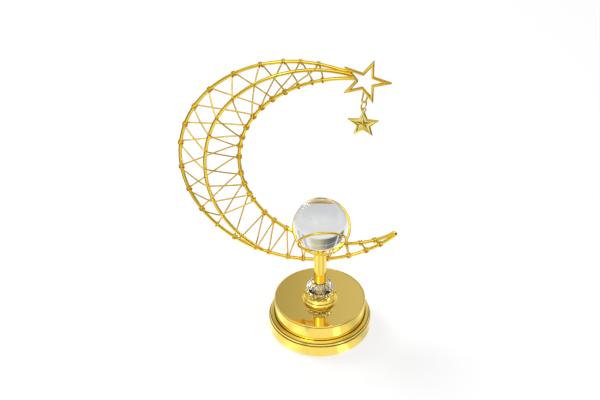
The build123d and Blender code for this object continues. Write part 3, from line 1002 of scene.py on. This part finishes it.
@dataclass
class TurnedBase:
    """Spun base, mirror plate and collar."""

    flange_r: float = 49.0
    flange_h: float = 12.4
    drum_r: float = 43.4
    foot_z: float = 16.2
    rim_z: float = 33.0
    rim_w: float = 1.3
    deck_z: float = 31.4
    deck_thick: float = 1.5
    wall: float = 1.4
    bottom_z: float = 0.3
    bore: float = 3.0
    plate_z: float = 32.6
    plate_gap: float = 0.05
    collar_r: float = 17.4
    collar_h: float = 6.0
    bead_r: float = 13.3
    table_r: float = 7.2
    dish_z: float = 36.0
    segments: int = 256

    def shell(self) -> list[Point]:
        """Outline of the spun shell: flange, shoulder bead, drum with a groove, rim, inside.

        Returns:
            Points of radius and height.
        """
        flange, drum, low = self.flange_r, self.drum_r, self.bottom_z
        brim, foot, rim = self.flange_h, self.foot_z, self.rim_z
        inner, drum_in, rim_in = flange - self.wall, drum - self.wall, drum - self.rim_w
        roof, under, bead = brim - self.wall, self.deck_z - self.deck_thick, flange - 0.8
        return rounded([
            (inner, low, 0.2), (flange - 0.5, low, 0.3), (flange, low + 1.4, 1.0),
            (flange, brim - 0.6, 0.4), (bead - 0.6, brim - 0.2, 0.1), (bead - 0.6, brim + 0.2, 0.1),
            (bead, brim + 0.5, 0.3), (bead - 0.35, foot - 1.1, 1.6), (bead - 2.4, foot, 1.4),
            (drum + 0.6, foot, 0.3), (drum + 0.55, foot - 1.3, 0.1), (drum, foot - 1.3, 0.1),
            (drum, rim - 2.0, 0.15), (drum - 0.4, rim - 1.75, 0.1), (drum - 0.4, rim - 1.5, 0.1),
            (drum, rim - 1.25, 0.2), (drum, rim, 0.55), (rim_in, rim, 0.6),
            (rim_in, self.deck_z, 0.1), (self.bore, self.deck_z, 0.1), (self.bore, under, 0.1),
            (drum_in, under, 0.8), (drum_in, roof, 0.5), (inner, roof, 0.8)])

    def plate(self) -> list[Point]:
        """Outline of the mirror plate.

        Returns:
            Points of radius and height.
        """
        edge = self.drum_r - self.rim_w - self.plate_gap
        return rounded([(self.bore, self.deck_z, 0), (edge, self.deck_z, 0),
                        (edge, self.plate_z, 0.25), (self.bore, self.plate_z, 0)])

    def collar(self) -> list[Point]:
        """Outline of the collar with its two ring ridges and its cup.

        Returns:
            Points of radius and height.
        """
        low, high, dish = self.plate_z, self.plate_z + self.collar_h, self.dish_z
        radius, bead = self.collar_r, self.bead_r
        return rounded([
            (self.bore, low, 0), (radius - 0.3, low, 0.2), (radius, low + 0.6, 0.4),
            (radius - 0.3, low + 1.4, 0.6), (radius - 1.5, low + 2.6, 0.5),
            (radius - 1.95, low + 2.7, 0.15), (radius - 1.95, low + 3.1, 0.15),
            (radius - 1.2, low + 3.3, 0.3), (radius - 1.35, low + 4.1, 0.5),
            (bead + 1.2, high - 0.3, 0.5), (bead + 0.25, high, 0.3), (bead - 1.6, dish + 1.35, 0.5),
            (self.table_r, dish, 1.0), (self.bore, dish, 0)])

    def build(self, finishes: Finishes) -> None:
        """Build and dress the pieces.

        Args:
            finishes: materials by name.
        """
        spun, mirror = finishes["spun_gold"], finishes["mirror_gold"]
        settle(turned("spun_base", self.shell(), spun, self.segments), "base_shell")
        settle(turned("mirror_plate", self.plate(), mirror, self.segments), "top_disc",
               slot="mirror_plate")
        settle(turned("turned_collar", self.collar(), spun), "base_collar")


@dataclass
class Column:
    """Faceted bead and the post on it."""

    bead_r: float = 13.3
    bead_h: float = 17.4
    bead_z: float = 44.7
    table_r: float = 7.2
    belt: float = 2.4
    crown_r: float = 11.0
    crown_lift: float = 0.5
    sides: int = 14
    bore: float = 3.0
    post_r: float = 6.0
    post_wall: float = 1.0
    post_z: float = 53.4
    post_top: float = 92.97
    facet_edge: float = 0.14

    def level(self, shape: BMesh, radius: float, lift: float, offset: float = 0.0) -> list[BMVert]:
        """Corners of one level of the bead, at a lift from its middle."""
        angles = full_turn(self.sides, offset)
        return corners_of(shape, arc(UP * (self.bead_z + lift), RIGHT, BACK, radius, angles))

    def bead(self, finish: Material) -> Object:
        """The cut bead, with softened facet edges and its bore.

        Args:
            finish: its material.
        Returns:
            The object.
        """
        shape = bmesh.new()
        half, belt = self.bead_h / 2, self.belt / 2
        crown = (belt + half) / 2 + self.crown_lift
        levels = ((self.table_r, half, 0.0), (self.crown_r, crown, 0.5), (self.bead_r, belt, 0.0))
        table_low, crown_low, belt_low = (
            self.level(shape, radius, -lift, offset) for radius, lift, offset in levels)
        belt_high, crown_high, table_high = (
            self.level(shape, radius, lift, offset) for radius, lift, offset in levels[::-1])
        hole_low, hole_high = (self.level(shape, self.bore, lift) for lift in (-half, half))
        for i in range(self.sides):
            j = (i + 1) % self.sides
            shape.faces.new((belt_low[i], belt_low[j], belt_high[j], belt_high[i]))
            for even, odd in ((table_low, crown_low), (belt_low, crown_low),
                              (belt_high, crown_high), (table_high, crown_high)):
                shape.faces.new((even[i], even[j], odd[i]))
                shape.faces.new((odd[i], even[j], odd[j]))
            for one, two in ((table_low, hole_low), (table_high, hole_high),
                             (hole_low, hole_high)):
                shape.faces.new((one[i], one[j], two[j], two[i]))
        cut = [edge for edge in shape.edges
               if max(vert.co.xy.length for vert in edge.verts) > self.table_r - 0.1]
        bmesh.ops.bevel(shape, geom=cut, offset=self.facet_edge, segments=1, affect="EDGES",
                        profile=0.5)
        return mesh_of("cut_bead", shape, finish, smooth_deg=5.0)

    def post(self) -> list[Point]:
        """Outline of the post's tube.

        Returns:
            Points of radius and height.
        """
        inner = self.post_r - self.post_wall
        return rounded([(inner, self.post_z, 0.2), (self.post_r, self.post_z, 0.35),
                        (self.post_r, self.post_top, 0.35), (inner, self.post_top, 0.3)])

    def build(self, finishes: Finishes) -> None:
        """Build and dress the pieces."""
        settle(self.bead(finishes["bead_crystal"]), "crystal_bead", slot="crystal")
        settle(turned("post", self.post(), finishes["spun_gold"], segments=96), "post_tube")


@dataclass(frozen=True)
class RingPlace:
    """How one wire ring lies round the ball."""

    node: str
    turn: float
    dip: float
    cage: float
    foot: float


@dataclass
class BallCradle:
    """Glass ball, the two rings round it and their solder."""

    rods: RodTree
    ball_r: float = 25.0
    ball_z: float = 122.2
    ball_steps: int = 96
    wire_r: float = 1.15
    ring_steps: int = 160
    solder_share: float = 0.9
    rings: tuple[RingPlace, ...] = (
        RingPlace("cradle_ring_front", 12.0, 30.0, 28.3, 3.9),
        RingPlace("cradle_ring_back", 181.0, 47.5, 30.65, -9.0))

    def ring(self, place: RingPlace) -> list[Vector]:
        """Centre line of one ring, on a sphere about the ball's centre.

        Args:
            place: how it lies.
        Returns:
            Points of the closed line.
        """
        turn, dip = math.radians(place.turn), math.radians(place.dip)
        axis = Vector((math.sin(turn) * math.cos(dip), -math.cos(turn) * math.cos(dip),
                       -math.sin(dip)))
        side = axis.cross(UP).normalized()
        wide = math.acos(place.foot / place.cage) - dip
        centre = UP * self.ball_z + axis * (place.cage * math.cos(wide))
        radius = place.cage * math.sin(wide)
        return arc(centre, side, axis.cross(side), radius, full_turn(self.ring_steps))

    def ball(self) -> list[Point]:
        """Half outline of the ball, pole to pole.

        Returns:
            Points of radius and height.
        """
        points = [(self.ball_r * math.sin(a), self.ball_z - self.ball_r * math.cos(a))
                  for a in spread(0, math.pi, self.ball_steps)]
        points[-1] = (0.0, self.ball_z + self.ball_r)
        return points

    def build(self, finishes: Finishes) -> None:
        """Build and dress the pieces.

        Args:
            finishes: materials by name.
        """
        settle(turned("glass_ball", self.ball(), finishes["ball_glass"], closed=False),
               "crystal_ball", body="crystal_ball", slot="crystal")
        gold = finishes["rod_gold"]
        for place in self.rings:
            made = self.rods.draw(f"{place.node}_wire", [self.ring(place)], self.wire_r, gold,
                                  sides=18, closed=True, uneven=0.05, wave=160.0)
            settle(made, place.node)
        centre, half = box_of("cradle_solder")
        solder("cradle_drop", "cradle_solder", centre, half * self.solder_share, RIGHT, gold, 4.0)


@dataclass
class Crescent:
    """The three bent rods and the solder at their ends."""

    lines: CrescentLines
    rods: RodTree
    tip_back: float = 0.5
    tip_size: tuple[float, float, float] = (2.1, 2.65, 1.7)
    seat_size: tuple[float, float, float] = (2.4, 1.9, 1.9)

    def build(self, finishes: Finishes) -> None:
        """Build and dress the rods and the solder.

        Args:
            finishes: materials by name.
        """
        lines, gold = self.lines, finishes["rod_gold"]
        front = lines.front_line()
        rails = {"outer_rail": lines.outer_line(), "inner_rail": lines.inner_line(),
                 "front_rail": front}
        for node, line in rails.items():
            settle(self.rods.draw(f"{node}_rod", [line.points], lines.rod_r, gold, sides=20,
                                  uneven=0.04, wave=60.0), node)
        outer_tip, inner_tip = lines.tips()
        along = heading(lines.rise)
        tip = (outer_tip + inner_tip) * 0.5 - along * self.tip_back
        solder("tip_drop", "tip_solder", tip, self.tip_size, along, gold, 1.0)
        seat = (lines.seat() + lines.spot(lines.outer, lines.outer_end)) * 0.5
        way = front.points[-1] - front.points[-2]
        solder("front_rod_drop", "front_rail_solder", seat, self.seat_size, way, gold, 2.0)
        centre, half = box_of("post_solder")
        solder("post_drop", "post_solder", centre, (half.x, half.z, half.y), RIGHT, gold, 3.0)


@dataclass
class Lacing:
    """Thin wire wound round the three rods, with nearly a full turn at every crossing."""

    lines: CrescentLines
    rods: RodTree
    wire_r: float = 0.70
    sunk: float = 0.7
    pitch: float = 1.2
    pitch_range: Point = (0.96, 1.12)
    ease_range: Point = (0.05, 0.09)
    front_ease: float = 2.4
    apart: float = 0.52
    coil_from: float = -250.0
    coil_to: float = 90.0
    coil_steps: int = 17
    close: float = 4.4
    clear: float = 1.0
    clear_samples: tuple[int, int] = (3, 6)
    low_from: int = 14
    samples: int = 400
    seed: int = 11
    outer_knots: tuple[float, ...] = (
        0.056, 0.088, 0.119, 0.161, 0.215, 0.273, 0.322, 0.367, 0.411, 0.467, 0.520, 0.571,
        0.619, 0.660, 0.706, 0.733, 0.771, 0.801)
    inner_knots: tuple[float, ...] = (
        0.050, 0.078, 0.105, 0.142, 0.183, 0.223, 0.261, 0.297, 0.336, 0.370, 0.398, 0.433,
        0.485, 0.519, 0.554, 0.577, 0.624, 0.659, 0.699, 0.733, 0.762)
    horn_outer: tuple[float, ...] = (0.849, 0.891, 0.928, 0.960)
    horn_inner: tuple[float, ...] = (0.828, 0.858, 0.896, 0.935)
    horn_apart: float = 0.011

    def __post_init__(self) -> None:
        """Read the rods' lines."""
        self.outer = self.lines.outer_line()
        self.inner = self.lines.inner_line()
        front = self.lines.front_line()
        self.front_spots = [front.at(share)[0] for share in spread(0, 1, self.samples)]
        self.reach = self.lines.rod_r + self.wire_r * self.sunk
        self.dice = random.Random(self.seed)

    def places(self) -> list[tuple[float, float, bool]]:
        """Shares on the outer and the inner rod of each strand, front strands first.

        Returns:
            Both shares of each, and whether it runs in front.
        """
        low, count = self.low_from, len(self.outer_knots)
        fronts = [(k, k + 4) for k in range(low - 2)] + [(k, k + 3) for k in range(low - 1, count)]
        backs = [(k, k + 1) for k in range(low)] + [(k, k + 2) for k in range(low, count)]
        return [(self.outer_knots[o], self.inner_knots[i], front)
                for pairs, front in ((fronts, True), (backs, False)) for o, i in pairs]

    def horn_places(self) -> list[tuple[float, float, bool]]:
        """The same near the lower tip.

        Returns:
            Both shares of each, and whether it runs in front.
        """
        knots = list(zip(self.horn_outer, self.horn_inner))
        fronts = [(o, i + self.horn_apart, True) for o, i in knots]
        return fronts + [(o, i, False) for o, i in knots]

    def coil(self, rod: RodLine, share: float, inwards: bool, front: bool, slide: float,
             stretch: float) -> list[Vector]:
        """Wire round a rod, from its free end to where it leaves.

        Args:
            rod: the rod's line.
            share: where on the rod.
            inwards: whether the hollow's side counts as outside, as on the inner rod.
            front: whether the wire leaves in front of the rod or behind it.
            slide: place along the rod where it leaves.
            stretch: how far the coil runs on along the rod in one turn.
        Returns:
            Points of the coil.
        """
        spot, along = rod.at(share)
        hollow = Vector((-along.z, 0, along.x))
        outside = hollow if inwards else -hollow
        centres = [spot]
        if not inwards:
            near = min(self.front_spots, key=lambda other: (other - spot).length)
            if (near - spot).length < self.close:
                centres.append(near - along * (near - spot).dot(along))
        turn = self.coil_to - self.coil_from
        points = []
        for done in spread(0, 1, self.coil_steps):
            angle = math.radians(self.coil_from + turn * done) * (1 if front else -1)
            arm = outside * math.cos(angle) + FRONT * math.sin(angle)
            centre = max(centres, key=lambda other: other.dot(arm))
            shift = slide + stretch * turn / 360 * (1 - done)
            points.append(centre + along * shift + arm * self.reach)
        return points

    def over_front(self, start: Vector, end: Vector) -> tuple[Vector, Vector] | None:
        """Where a strand bends over the front rod, and its heading there.

        Args:
            start: where the strand leaves a rod.
            end: where it reaches the other rod.
        Returns:
            The point and the unit heading, or None if it keeps clear of that rod.
        """
        ways = [(spot - start).length + (spot - end).length for spot in self.front_spots]
        place = ways.index(min(ways))
        spot = self.front_spots[place]
        first, last = self.clear_samples
        if (not first <= place <= self.samples - last
                or (spot - start).length < self.close + self.clear):
            return None
        along = (self.front_spots[place + 1] - self.front_spots[place - 1]).normalized()
        arms = [(goal - spot) - along * (goal - spot).dot(along) for goal in (start, end)]
        outwards = arms[0].normalized() + arms[1].normalized()
        outwards = -outwards.normalized() if outwards.length > 1e-3 else FRONT.copy()
        way = end - start
        way -= outwards * way.dot(outwards)
        return spot + outwards * self.reach, way.normalized()

    @staticmethod
    def sway(start: Vector, start_way: Vector, end: Vector, end_way: Vector,
             ease: float) -> list[Vector]:
        """Points of a springy strand between two places with given headings.

        Args:
            start: where it starts.
            start_way: its heading there.
            end: where it ends.
            end_way: its heading there.
            ease: how far it follows the headings, as a share of its length.
        Returns:
            The points between the two places.
        """
        most_pull, spacing, least_count = 14.0, 1.6, 6
        length = (end - start).length
        pull = min(length * ease, most_pull) * 3
        count = max(least_count, int(length / spacing))
        points = []
        for t in spread(0, 1, count)[1:-1]:
            begun = 2 * t ** 3 - 3 * t ** 2 + 1
            points.append(start * begun + start_way * ((t ** 3 - 2 * t ** 2 + t) * pull)
                          + end * (1 - begun) + end_way * ((t ** 3 - t ** 2) * pull))
        return points

    def wire(self, outer_share: float, inner_share: float, front: bool) -> list[Vector]:
        """A strand between the outer and the inner rod.

        Args:
            outer_share: where on the outer rod.
            inner_share: where on the inner rod.
            front: whether it runs in front of the rods, over the front rod, or behind them.
        Returns:
            Points of the strand with a coil at each end.
        """
        step = self.pitch * self.dice.uniform(*self.pitch_range)
        ends = [(self.outer, outer_share, False), (self.inner, inner_share, True)]
        leaving, reached = ends if front else ends[::-1]
        first = self.coil(*leaving, front, self.apart, step)
        second = self.coil(*reached, front, -self.apart, -step)[::-1]
        start, end = first[-1], second[0]
        leave = (first[-1] - first[-2]).normalized()
        arrive = (second[1] - second[0]).normalized()
        ease = self.dice.uniform(*self.ease_range)
        bend = self.over_front(start, end) if front else None
        if bend is None:
            return first + self.sway(start, leave, end, arrive, ease) + second
        corner, way = bend
        rod, share, _ = leaving
        leave = (leave + rod.at(share)[1]).normalized()
        before = self.sway(start, leave, corner, way, ease * self.front_ease)
        return first + before + [corner] + self.sway(corner, way, end, arrive, ease) + second

    def build(self, finishes: Finishes) -> None:
        """Wind and dress the wires.

        Args:
            finishes: materials by name.
        """
        solids = ("lacing_wire_first", "lacing_wire_second", "lacing_wire_third")
        for name, places, nodes in (("lacing", self.places(), solids),
                                    ("horn_lacing", self.horn_places(), ("lacing_wire_tip",))):
            strands = [self.wire(*place) for place in places]
            made = self.rods.draw(name, strands, self.wire_r, finishes["wire_gold"], sides=10,
                                  uneven=0.10, wave=300.0)
            settle(made, *nodes, slot="gold_wire")


@dataclass
class StarAndPendant:
    """The open star, the wire eye under it, the jump ring and the pendant."""

    star: StarSize
    rods: RodTree
    hang_x: float = 36.42
    eye_z: float = 257.395
    eye_r: float = 1.7
    eye_on_bar: Point = (0.08, 0.44)
    jump_r: float = 4.0
    jump_z: float = 254.545
    jump_turn: float = 60.0
    loop_r: float = 2.0
    loop_z: float = 249.695
    pendant_z: float = 234.395
    pendant_r: float = 14.6
    waist_r: float = 6.4
    thick: float = 2.4
    bar: float = 2.3
    core_r: float = 6.9
    core_waist: float = 2.5
    edge: float = 0.48
    ridge_out: float = 0.02
    rim_share: float = 0.74
    well_share: float = 0.66
    apex_share: float = 0.55
    core_share: float = 0.2
    bridge_from: float = 0.7
    bridge_w: float = 1.2
    bridge_depth: float = 0.33
    link_r: float = 0.62
    eye_wire_r: float = 0.75
    link_sides: int = 14
    link_steps: int = 64
    eye_steps: int = 24

    def hang(self, z: float) -> Vector:
        """A point at a height on the line from which the pendant hangs."""
        return Vector((self.hang_x, self.star.y, z))

    def open_star(self, finish: Material) -> Object:
        """The open star of mitred strip, with softened edges.

        Args:
            finish: its material.
        Returns:
            The object.
        """
        shape = bmesh.new()
        star = self.star
        hole = star.radius - star.bar / math.sin(math.radians(18))
        half = BACK * (star.depth / 2)
        skin(shape, [corners_of(shape, (star.corner(i, radius) + half * side for i in range(10)))
                     for radius, side in ((star.radius, -1), (hole, -1), (hole, 1),
                                          (star.radius, 1))])
        bmesh.ops.bevel(shape, geom=list(shape.edges), offset=self.edge, segments=2,
                        affect="EDGES", profile=0.5)
        return mesh_of("open_star", shape, finish, smooth_deg=20.0)

    def eye(self) -> list[Vector]:
        """Line of the wire eye: a leg down, a round bend and a leg up.

        Returns:
            Points of the line.
        """
        left, right = (self.star.on_bar(7, 8, share) for share in self.eye_on_bar)
        centre = self.hang(self.eye_z + self.eye_r)
        ends = []
        for end, turn in ((left, 1), (right, -1)):
            way = end - centre
            ends.append(math.atan2(way.z, way.x) + turn * math.acos(self.eye_r / way.length))
        first, last = ends
        while last < first:
            last += 2 * math.pi
        angles = spread(first, last, self.eye_steps)
        return [left, *arc(centre, RIGHT, UP, self.eye_r, angles), right]

    def link(self, radius: float, z: float, turn: float) -> list[Vector]:
        """Centre line of a round link."""
        across = Vector((math.cos(math.radians(turn)), math.sin(math.radians(turn)), 0))
        return arc(self.hang(z), across, UP, radius, full_turn(self.link_steps))

    def pendant(self, finish: Material) -> Object:
        """The cast openwork star: a ridged frame, a ridged core star and thin bridges.

        Args:
            finish: its material.
        Returns:
            The object, without its loop.
        """
        shape = bmesh.new()
        centre = self.hang(self.pendant_z)

        def ring(radius: float, waist: float, depth: float) -> list[BMVert]:
            """Ten corners of a star, at a depth from the middle.

            Args:
                radius: radius of the tips.
                waist: radius of the waists.
                depth: how far behind the middle.
            Returns:
                The corners.
            """
            return corners_of(shape, (
                polar(centre.x, centre.y + depth, centre.z, waist if i % 2 else radius, 90 + 36 * i)
                for i in range(10)))

        share = 1 - self.bar / (self.waist_r * math.sin(math.radians(54)))
        ridge, half = (1 + share) / 2 + self.ridge_out, self.thick / 2
        rim, well = half * self.rim_share, half * self.well_share
        levels = ((1.0, -rim), (ridge, -half), (share, -well),
                  (share, well), (ridge, half), (1.0, rim))
        skin(shape, [ring(self.pendant_r * s, self.waist_r * s, depth) for s, depth in levels])
        rims = []
        for side in (-1, 1):
            apex = shape.verts.new(centre + BACK * (side * self.thick * self.apex_share))
            rims.append(ring(self.core_r, self.core_waist, side * self.thick * self.core_share))
            skin(shape, [rims[-1], [apex] * 10], False)
        skin(shape, rims, False)
        self._bridges(shape, centre, share)
        return mesh_of("cast_pendant", shape, finish, smooth_deg=20.0)

    def _bridges(self, shape: BMesh, centre: Vector, share: float) -> None:
        """Thin bridges from the core star's waists to the frame.

        Args:
            shape: the shape that gets them.
            centre: the pendant's middle.
            share: the frame's inner size over its outer size.
        """
        inner, outer = self.core_waist * self.bridge_from, self.waist_r * (1 + share) / 2
        depth = self.thick * self.bridge_depth
        for arm in range(5):
            way = heading(54 + 72 * arm)
            across = way.cross(BACK)
            for vert in bmesh.ops.create_cube(shape, size=1.0)["verts"]:
                reach = inner + (vert.co.x + 0.5) * (outer - inner)
                vert.co = (centre + way * reach + across * (vert.co.y * self.bridge_w)
                           + BACK * (vert.co.z * depth))

    def build(self, finishes: Finishes) -> None:
        """Build and dress the pieces.

        Args:
            finishes: materials by name.
        """
        rod, cast, sides = finishes["rod_gold"], finishes["cast_gold"], self.link_sides
        settle(self.open_star(finishes["star_gold"]), "star_frame")
        settle(self.rods.draw("wire_eye", [self.eye()], self.eye_wire_r, rod, sides), "hanging_eye")
        jump = self.link(self.jump_r, self.jump_z, self.jump_turn)
        settle(self.rods.draw("round_link", [jump], self.link_r, rod, sides, True), "jump_ring",
               body="jump_ring")
        settle(self.pendant(cast), "pendant_star", body="pendant_star")
        loop = self.link(self.loop_r, self.loop_z, 0)
        settle(self.rods.draw("pendant_loop", [loop], self.link_r, cast, sides, True),
               body="pendant_star")


@dataclass
class HiddenPieces:
    """Solids that stay as they are and only get a finish."""

    WORN = {
        "felt_pad": "felt", "ballast_weight": "weight_iron", "tie_rod": "zinc_steel",
        "base_washer": "zinc_steel", "base_nut": "zinc_steel", "post_cap": "spun_gold"}

    def build(self, finishes: Finishes) -> None:
        """Dress the felt, the weight, the fasteners and the cap.

        Args:
            finishes: materials by name.
        """
        for node, finish in self.WORN.items():
            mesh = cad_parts[node].data
            mesh.materials.clear()
            mesh.materials.append(finishes[finish])
            LOG.info("solid %s dressed in %s", node, finish)


# Studio


@dataclass(frozen=True)
class Bell:
    """A soft field: its level at the middle, falling to nothing at half its width."""

    level: float
    middle: float
    half: float

    def of(self, value: Sock) -> Sock:
        """The field's level at a value."""
        return self.level * (1 - (value - self.middle).math("ABSOLUTE").step(0.0, self.half))


def on_base(base: float, value: Sock, bells: Iterable[Bell]) -> Sock:
    """A base level with soft fields added along a value.

    Args:
        base: the level away from the fields.
        value: what they lie along.
        bells: the fields.
    Returns:
        The level at the value.
    """
    level: Value = base
    for bell in bells:
        level = bell.of(value) + level
    return level


def between(share: Sock, first: Value, second: Value) -> Sock:
    """Value between two others."""
    return first * (1 - share) + second * share


@dataclass(frozen=True)
class Lamp:
    """A soft square lamp that looks at a point and shows in no mirror."""

    name: str
    spot: tuple[float, float, float]
    goal: tuple[float, float, float]
    power: float
    size: float = 0.5

    def build(self) -> None:
        """Put the lamp in the scene."""
        data = bpy.data.lights.new(self.name, "AREA")
        data.shape = "SQUARE"
        data.size = self.size
        data.energy = self.power
        made = object_of(self.name, data)
        made.location = self.spot
        made.visible_glossy = False
        way = Vector(self.goal) - Vector(self.spot)
        made.rotation_euler = way.to_track_quat("-Z", "Y").to_euler()


@dataclass
class Studio:
    """Camera, pale floor, world and lamps."""

    target: tuple[float, float, float] = (-19.23, 0.0, 148.92)
    distance: float = 1561.45
    azimuth: float = 7.08
    depression: float = 38.01
    lens: float = 102.0
    floor_half: float = 6.0
    floor_share: float = 0.70
    floor_near: float = 0.98
    floor_wide: float = 0.2
    world_light: float = 0.54

    # Scale of the floor's faint clouds, per metre
    CLOUD = 30.0
    # The floor in mirrors, by bearing from the front: seen by the base, by the post, far away
    BASE_FIELDS = (
        Bell(1.2, 0.64, 0.17), Bell(0.35, -0.55, 0.4), Bell(-0.3, 1.3, 0.45),
        Bell(0.35, -1.35, 0.45))
    POST_FIELDS = (Bell(0.25, -0.93, 0.4), Bell(-0.45, -0.28, 0.15), Bell(-0.45, 1.05, 0.3))
    WIDE_FIELDS = (Bell(0.85, -0.4, 1.0),)
    # Distances on the floor over which the fields change from one to the next
    POST_FROM = (0.068, 0.08)
    WIDE_FROM = (0.13, 0.24)
    # The floor through glass: its level at the base, what is added at two distances, and where
    # the room behind begins, by distance and by y
    CLEAR_LEVELS = (0.60, 0.14, 0.26)
    CLEAR_NEAR = (0.05, 0.18)
    CLEAR_FAR = (0.22, 0.42)
    ROOM_FROM = (0.3, 0.42)
    ROOM_BEHIND = (0.1, 0.2)
    # Bright fields of the world in mirrors: a band and a window in front, a panel behind
    BAND = Bell(1.1, 0.85, 0.16)
    WINDOW_X = Bell(2.2, -0.3, 0.3)
    WINDOW_Z = Bell(1.0, 0.68, 0.2)
    PANEL = Bell(0.44, 0.62, 0.22)
    PANEL_X = (-0.135, -0.06)
    PANEL_Y = (0.3, 0.5)
    WINDOW_END_Y = (-0.3, 0.0)
    BEHIND_Y = (-0.25, 0.25)
    # Where glass sees the room in the world: over the floor, below a height, at the back
    ROOM_LOW = (-0.02, 0.02)
    ROOM_HIGH = (0.3, 0.5)
    ROOM_Y = (0.1, 0.3)
    # Levels of the world in mirrors, by height
    BEHIND = (
        (0.0, 1.0), (0.25, 0.9), (0.46, 0.45), (0.70, 0.45), (0.80, 0.7), (0.88, 0.35), (1.0, 0.3))
    BEFORE = ((0.0, 0.14), (0.3, 0.16), (0.46, 0.9), (0.8, 1.0), (1.0, 1.0))
    # Dark, pale and warm fields of the room behind, as the glass shows them from left to right
    ROOM = (
        (0.0, 0.95), (0.07, 0.9), (0.11, 0.05, 0.06, 0.06), (0.18, 0.06, 0.07, 0.07), (0.20, 0.95),
        (0.22, 0.06, 0.07, 0.07), (0.33, 0.08, 0.09, 0.07), (0.40, 0.25, 0.23, 0.13),
        (0.46, 0.5, 0.46, 0.28), (0.56, 0.6, 0.56, 0.36), (0.63, 0.85, 0.86, 0.88),
        (0.70, 0.3, 0.32, 0.34), (0.74, 0.9, 0.9, 0.92), (0.80, 0.4, 0.42, 0.45), (0.85, 0.95))
    LAMPS = (
        Lamp("key_lamp", (-0.85, 0.40, 1.10), (0, 0, 0), 14.0),
        Lamp("side_lamp", (0.9, -0.4, 0.7), (0, 0, 0.1), 4.0))

    def camera(self) -> None:
        """The photograph's camera."""
        data = bpy.data.cameras.new("camera")
        data.sensor_width = 36.0
        data.lens = self.lens
        data.clip_start, data.clip_end = 0.05, 50.0
        made = object_of("camera", data)
        turn, fall = math.radians(self.azimuth), math.radians(self.depression)
        way = Vector((math.sin(turn) * math.cos(fall), -math.cos(turn) * math.cos(fall),
                      math.sin(fall)))
        made.location = Vector(self.target) * MM + way * (self.distance * MM)
        made.rotation_euler = (-way).to_track_quat("-Z", "Y").to_euler()
        bpy.context.scene.camera = made

    def room(self, sheet: Sheet, across: Sock) -> Sock:
        """The room behind, by a value from -1 at the left to 1 at the right."""
        return sheet.ramp(across * 0.5 + 0.5, self.ROOM)

    def floor(self) -> None:
        """A wide pale floor that keeps the soft shadow.

        Mirror rays see it with bright and dark fields round the ornament. Glass rays see it a
        little shaded near the ornament, and the room behind far away.
        """
        material, sheet = new_sheet("pale_floor")
        place = sheet.place()
        cloud = sheet.noise(place, self.CLOUD)
        pale = sheet.blend(cloud, (0.95, 0.95, 0.95, 1), (0.97, 0.97, 0.97, 1))
        x, y, _ = sheet.axes(place)
        bearing, radius = x.math("ARCTAN2", y * -1.0), x.hypot(y)
        near = between(radius.step(*self.POST_FROM),
                       on_base(self.floor_near, bearing, self.BASE_FIELDS),
                       on_base(self.floor_near, bearing, self.POST_FIELDS))
        mirrored = between(radius.step(*self.WIDE_FROM), near,
                           on_base(self.floor_wide, bearing, self.WIDE_FIELDS))
        base, near_more, far_more = self.CLEAR_LEVELS
        clear = (base + near_more * radius.step(*self.CLEAR_NEAR)
                 + far_more * radius.step(*self.CLEAR_FAR))
        camera, glossy, through = sheet.rays()
        level = camera + glossy * mirrored + through * clear
        share = (camera * self.floor_share).most(glossy).most(through)
        plain = sheet.node("ShaderNodeBsdfDiffuse", None, {"Color": pale})
        far = through * radius.step(*self.ROOM_FROM) * y.step(*self.ROOM_BEHIND)
        shown = sheet.blend(far, WHITE, self.room(sheet, x / radius.most(0.01)))
        glow = sheet.node("ShaderNodeEmission", None, {"Color": shown, "Strength": level})
        sheet.surface(sheet.node("ShaderNodeMixShader", None, {0: share, 1: plain, 2: glow}))
        shape = bmesh.new()
        bmesh.ops.create_grid(shape, x_segments=1, y_segments=1, size=self.floor_half)
        mesh = bpy.data.meshes.new("floor")
        shape.to_mesh(mesh)
        shape.free()
        mesh.materials.append(material)
        object_of("floor", mesh)

    def world(self) -> None:
        """White all round for the camera, with soft bright and dark fields in mirrors and glass."""
        world = bpy.data.worlds.new("studio")
        world.use_nodes = True
        bpy.context.scene.world = world
        sheet = Sheet(world.node_tree)
        x, y, z = sheet.axes(sheet.node("ShaderNodeTexCoord", out="Generated"))
        shade = sheet.blend(y.step(*self.BEHIND_Y), sheet.ramp(z, self.BEFORE),
                            sheet.ramp(z, self.BEHIND))
        window = self.BAND.of(z) + self.WINDOW_X.of(x) * self.WINDOW_Z.of(z)
        panel = self.PANEL.of(z) * x.step(*self.PANEL_X) * y.step(*self.PANEL_Y)
        bright = (1 - y.step(*self.WINDOW_END_Y)) * window + panel
        low = z.step(*self.ROOM_LOW) * (1 - z.step(*self.ROOM_HIGH)) * y.step(*self.ROOM_Y)
        veil = sheet.blend(low, (0.9, 0.9, 0.9, 1), self.room(sheet, x))
        camera, glossy, through = sheet.rays()
        colour = sheet.blend(glossy, sheet.blend(through, WHITE, veil), shade)
        seen = camera.most(glossy).most(through)
        strength = seen * (1 - self.world_light) + self.world_light + glossy * bright
        light = sheet.node("ShaderNodeBackground", None, {"Color": colour, "Strength": strength})
        sheet.surface(light, "ShaderNodeOutputWorld")

    def build(self) -> None:
        """Set up the whole studio."""
        bpy.context.scene.view_settings.view_transform = "Standard"
        self.camera()
        self.floor()
        self.world()
        for lamp in self.LAMPS:
            lamp.build()


def main() -> None:
    """Build the ornament round its solids and light it."""
    logging.basicConfig(level=logging.INFO, format="%(name)s: %(message)s")
    finishes = make_finishes()
    rods = RodTree()
    star = StarSize()
    lines = CrescentLines(star)
    Studio().build()
    for part in (TurnedBase(), Column(), BallCradle(rods), Crescent(lines, rods),
                 Lacing(lines, rods), StarAndPendant(star, rods), HiddenPieces()):
        part.build(finishes)


if __name__ == "__main__":
    main()
